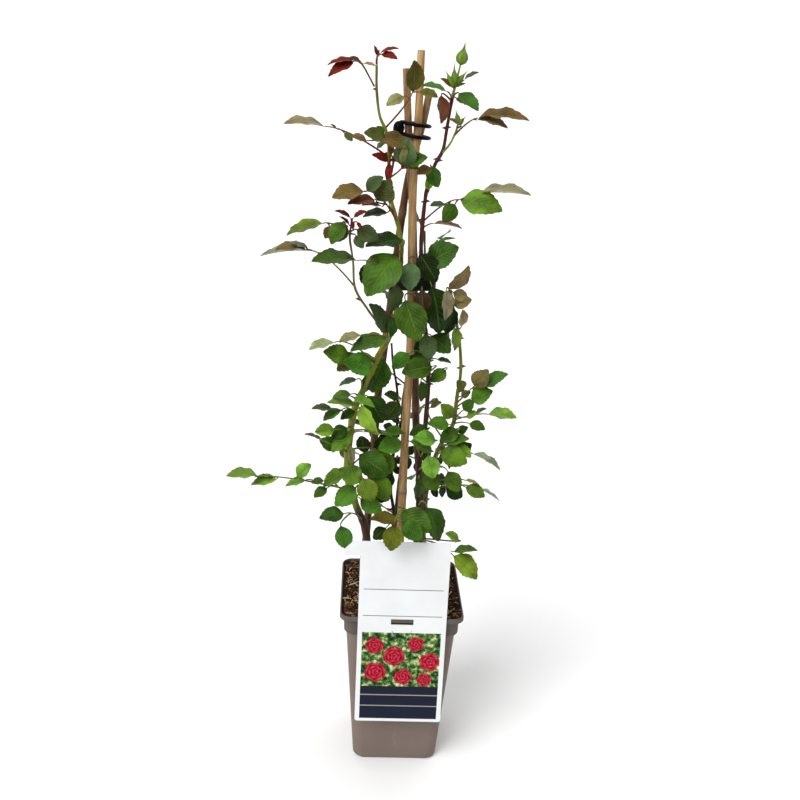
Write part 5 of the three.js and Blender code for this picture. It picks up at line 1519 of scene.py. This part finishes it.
def make_buds(name, blade, shape, skin):
    """Buds with five sepals closed round each, drawn out to a long point."""
    buds = Gathering()
    for number, (foot, point, radius) in enumerate(BUDS[name]):
        foot, point = Vector(foot), Vector(point)
        reach = point - foot
        length = reach.length
        up, side, other = frame_along(reach, Vector((0.3, -1, 0.2)))
        turn = Matrix((side, -other, up)).transposed().to_4x4()
        inside = radius * BUD_INSIDE
        size = Matrix.Diagonal((inside, inside, length, 1))
        buds.stamp(shape, Matrix.Translation(foot) @ turn @ size, PLAIN)
        for sepal in range(SEPALS):
            angle = 2 * math.pi * sepal / SEPALS + number
            reach_up = SEPAL_REACH + SEPAL_VARIES * vary(sepal + number * 7)
            spots = []
            for across, along, out in blade.points:
                share = along * reach_up
                turned = angle + SEPAL_WIDTH * across * (1 - along) ** SEPAL_TAPER * SEPAL_WRAP
                away = radius * (value_at(BUD_LEVELS, share) + SEPAL_CLEAR + SEPAL_DEPTH * out)
                away *= 1 - CLOSED_BY * max(share - CLOSED_FROM, 0)
                spots.append(foot + up * (share * length) + side * (math.cos(turned) * away)
                             + other * (math.sin(turned) * away))
            buds.lay(blade, np.array(spots), PLAIN)
    finish_piece(buds.piece(name + "_buds", skin, skin, angle=50), "bud_green", name)


# ---------------------------------------------------------------- the label

# The heights of the card's picture and of the dark foot below it, and half the width
# of both; then its thin rules, each with its height, half its thickness and its ink.
PRINT_HALF = 47.5
PICTURE = (128.5, 202.0)
FOOT_PRINT = (83.0, 128.5)
GREY_INK = (0.2, 0.2, 0.2)
PALE_INK = (0.3, 0.29, 0.27)
NAVY_INK = (0.009, 0.012, 0.026)
RULES = ((259.2, 0.55, GREY_INK), (224.3, 0.55, GREY_INK), (116.3, 0.7, PALE_INK),
         (101.1, 0.7, PALE_INK))
# Each rosette in the picture: its middle, across and up, and its radius.
ROSETTES = ((-32, 184, 11), (-8, 170, 13), (18, 187, 10), (35, 163, 12.5), (-30, 148, 13.5),
            (4, 142, 11), (30, 138, 9))
ROSETTE_LAYERS = 3.4
ROSETTE_WAVE = 5                 # how far its outline strays


def within(value, low, high):
    return (value > low) * (value < high)


def printed_card():
    """White card with thin rules, a picture of small rosettes and a navy foot."""
    paint = Paint("printed_card", {"IOR": 1.45, "Specular IOR Level": 0.12})
    x, _, z = paint.parts(paint.place((1 / MM, 1 / MM, 1 / MM)))
    cloud = paint.noise(30.0)
    colour = paint.ramp(cloud, (0.3, (0.72, 0.74, 0.74)), (0.7, (0.78, 0.8, 0.8)))
    front = paint.parts(paint.node("ShaderNodeNewGeometry", output="Normal"))[1] < -0.7
    printed = (abs(x) < PRINT_HALF) * front

    plane = paint.node("ShaderNodeCombineXYZ", {}, {"X": x, "Y": z, "Z": 0.0})
    shade = paint.noise(0.12, detail=4, roughness=0.68, place=plane)
    green = paint.ramp(shade, (0.38, (0.004, 0.012, 0.014)), (0.46, (0.02, 0.07, 0.018)),
                       (0.53, (0.1, 0.2, 0.035)), (0.59, (0.32, 0.42, 0.14)), (0.65, (0.7, 0.7, 0.52)))
    pictured = within(z, *PICTURE) * printed
    colour = paint.blend(pictured, colour, green)
    bend_x = ROSETTE_WAVE * (paint.noise(0.16, detail=2, place=plane) - 0.5)
    bend_z = ROSETTE_WAVE * (paint.noise(0.21, detail=2, place=plane) - 0.5)
    for centre_x, centre_z, radius in ROSETTES:
        dx, dz = x + bend_x - centre_x, z + bend_z - centre_z
        away = (dx * dx + dz * dz) ** 0.5 / radius
        turn = paint.node("ShaderNodeMath", {"operation": "ARCTAN2"}, {0: dz, 1: dx})
        ring = (away * ROSETTE_LAYERS).fraction()
        layer = away * ROSETTE_LAYERS - ring
        petals = abs((turn * 2.5 + layer * 1.3 + centre_x).sine())
        mask = (away - 0.12 * petals).between(0.94, 0.86)
        red = paint.ramp(ring * 0.6 + 0.4 * petals,
                         (0.08, (0.04, 0.001, 0.006)), (0.38, (0.2, 0.003, 0.018)),
                         (0.68, (0.5, 0.008, 0.025)), (0.95, (0.62, 0.06, 0.1)))
        colour = paint.blend(mask * pictured, colour, red)
    colour = paint.blend(within(z, *FOOT_PRINT) * printed, colour, NAVY_INK)
    for height, half, ink in RULES:
        line = within(z, height - half, height + half) * printed
        colour = paint.blend(line, colour, ink)
    paint.feed(base_color=colour, roughness=0.32 + 0.15 * cloud)
    return paint.material


# ----------------------------------------------------------------- the stage
# Metres.

FLOOR_HALF = (7, 4.5)
FLOOR_FORWARD = 1.2              # how far its middle lies in front of the pot
BACKDROP_HEIGHT = 4
BACKDROP_BEND = 1.6
BACKDROP_STEPS = 24

WORLD_LIGHT = 0.28
LIGHT_TARGET = Vector((0, 0, 0.4))
# Each light: where it shines from, how widely it spreads (degrees) and its power.
SOFT_LIGHTS = (
    ("key", (-1.6, -1.9, 2.6), 40, 2.8),
    ("top", (0.5, 0.2, 3.0), 60, 0.9),
)


def make_floor():
    """A pale floor that sweeps up behind."""
    bpy.ops.mesh.primitive_plane_add(size=2)
    ground = take_up()
    ground.name = "floor"
    bpy.ops.transform.resize(value=(*FLOOR_HALF, 1), center_override=(0, 0, 0))
    bpy.ops.transform.translate(value=(0, -FLOOR_FORWARD, 0))
    pick_points(ground, lambda p: p.y > 0)
    extrude(BACKDROP_HEIGHT)
    pick_points(ground, lambda p: p.y > 0 and p.z < BACKDROP_HEIGHT / 2)
    bpy.ops.mesh.bevel(offset=BACKDROP_BEND, segments=BACKDROP_STEPS, affect="EDGES")
    leave_edit()
    settle(ground, 60)
    paint = Paint("pale_floor", {"Base Color": (0.92, 0.92, 0.92), "Roughness": 0.9,
                                 "Specular IOR Level": 0.05})
    dress(ground, paint.material)


def make_light():
    """Soft light from above the viewer's left, and a little from all round."""
    world = bpy.data.worlds.new("studio")
    world.use_nodes = True
    world.node_tree.nodes["Background"].inputs["Color"].default_value = (1, 1, 1, 1)
    world.node_tree.nodes["Background"].inputs["Strength"].default_value = WORLD_LIGHT
    bpy.context.scene.world = world
    bpy.context.scene.view_settings.view_transform = "Standard"
    for name, place, spread, power in SOFT_LIGHTS:
        data = bpy.data.lights.new(name, "SUN")
        data.angle = math.radians(spread)
        data.energy = power
        lamp = bpy.data.objects.new(name, data)
        lamp.location = place
        lamp.rotation_euler = (Vector(place) - LIGHT_TARGET).to_track_quat("Z", "Y").to_euler()
        bpy.context.scene.collection.objects.link(lamp)


# ------------------------------------------------ colours of canes and bark

# Each cane's palest, middle and darkest colours, and the height below which it is painted darker as
# painted shade.
CANE_COLOURS = {
    "cane_front": ((0.56, 0.37, 0.18), (0.4, 0.23, 0.09), (0.17, 0.08, 0.03), -100),
    "cane_right": ((0.46, 0.29, 0.14), (0.3, 0.17, 0.075), (0.12, 0.055, 0.025), 730),
    "cane_left": ((0.42, 0.26, 0.12), (0.28, 0.155, 0.065), (0.12, 0.055, 0.025), 760),
}

# Bark at the foot, the middle and the tip, and the heights at which it changes.
YOUNG_BARK = ((0.12, 0.09, 0.022), (0.13, 0.05, 0.018), (0.14, 0.03, 0.016))
BARK = {
    "stem_left": ((0.07, 0.032, 0.018), (0.22, 0.25, 0.028), (0.12, 0.11, 0.022), 345, 790),
    "stem_flowering": ((0.04, 0.034, 0.014), (0.05, 0.022, 0.012), (0.07, 0.016, 0.014), 300, 600),
    "stem_right": ((0.06, 0.06, 0.018), (0.19, 0.23, 0.03), (0.12, 0.15, 0.025), 350, 560),
    "stem_middle": ((0.025, 0.016, 0.01), (0.03, 0.02, 0.011), (0.06, 0.018, 0.012), 300, 480),
    "stem_back": ((0.05, 0.032, 0.016), (0.07, 0.09, 0.018), (0.1, 0.13, 0.025), 330, 600),
    "shoot_left": ((0.17, 0.21, 0.03), (0.15, 0.17, 0.028), (0.13, 0.07, 0.02), 500, 660),
    "young_tip_left": ((0.13, 0.03, 0.016), (0.13, 0.03, 0.016), (0.16, 0.03, 0.018), 700, 900),
    "young_leaf_left": (*YOUNG_BARK, 820, 840),
    "young_shoot": (*YOUNG_BARK, 720, 745),
    "young_tip_shoot": (*YOUNG_BARK, 660, 680),
    "bud_cluster": ((0.11, 0.18, 0.02), (0.16, 0.26, 0.03), (0.18, 0.29, 0.04), 800, 880),
    "bud_spray": ((0.11, 0.17, 0.02), (0.16, 0.26, 0.03), (0.18, 0.29, 0.04), 750, 810),
}

# -------------------------------------------------------------------- making

make_pot(pot_plastic())
dress(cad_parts["soil"], peat())
make_chips(bark_fibre())
dress(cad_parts["label"], printed_card())

pith = cane_pith()
for cane_name, colours in CANE_COLOURS.items():
    skin = cane_skin(cane_name + "_skin", *colours, CANES[cane_name]["joints"])
    make_cane(cane_name, skin, pith)

black = rubber()
make_top_tie(black)
make_band(black)

blades = (leaflet_blade("large_blade", 4, 16), leaflet_blade("small_blade", 4, 10))
spike = thorn_spike()
stalk, thorn, upper, lower = stalk_skin(), thorn_skin(), leaf_face(), leaf_back()
for stem_name, stem in STEMS.items():
    young = stem_name.startswith(("young", "bud"))
    slot = "red_leaf" if stem_name.startswith("young") else "green_leaf"
    growth = Growth(stem_name, stem, YOUNG if young else MATURE, blades, spike)
    bark = stem_skin(stem_name + "_bark", *BARK[stem_name])
    growth.make((bark, stalk, thorn, upper, lower), slot)

bud_green, bud_body = bud_skin(), bud_shape()
for cluster in BUDS:
    make_buds(cluster, blades[1], bud_body, bud_green)

make_floor()
make_light()
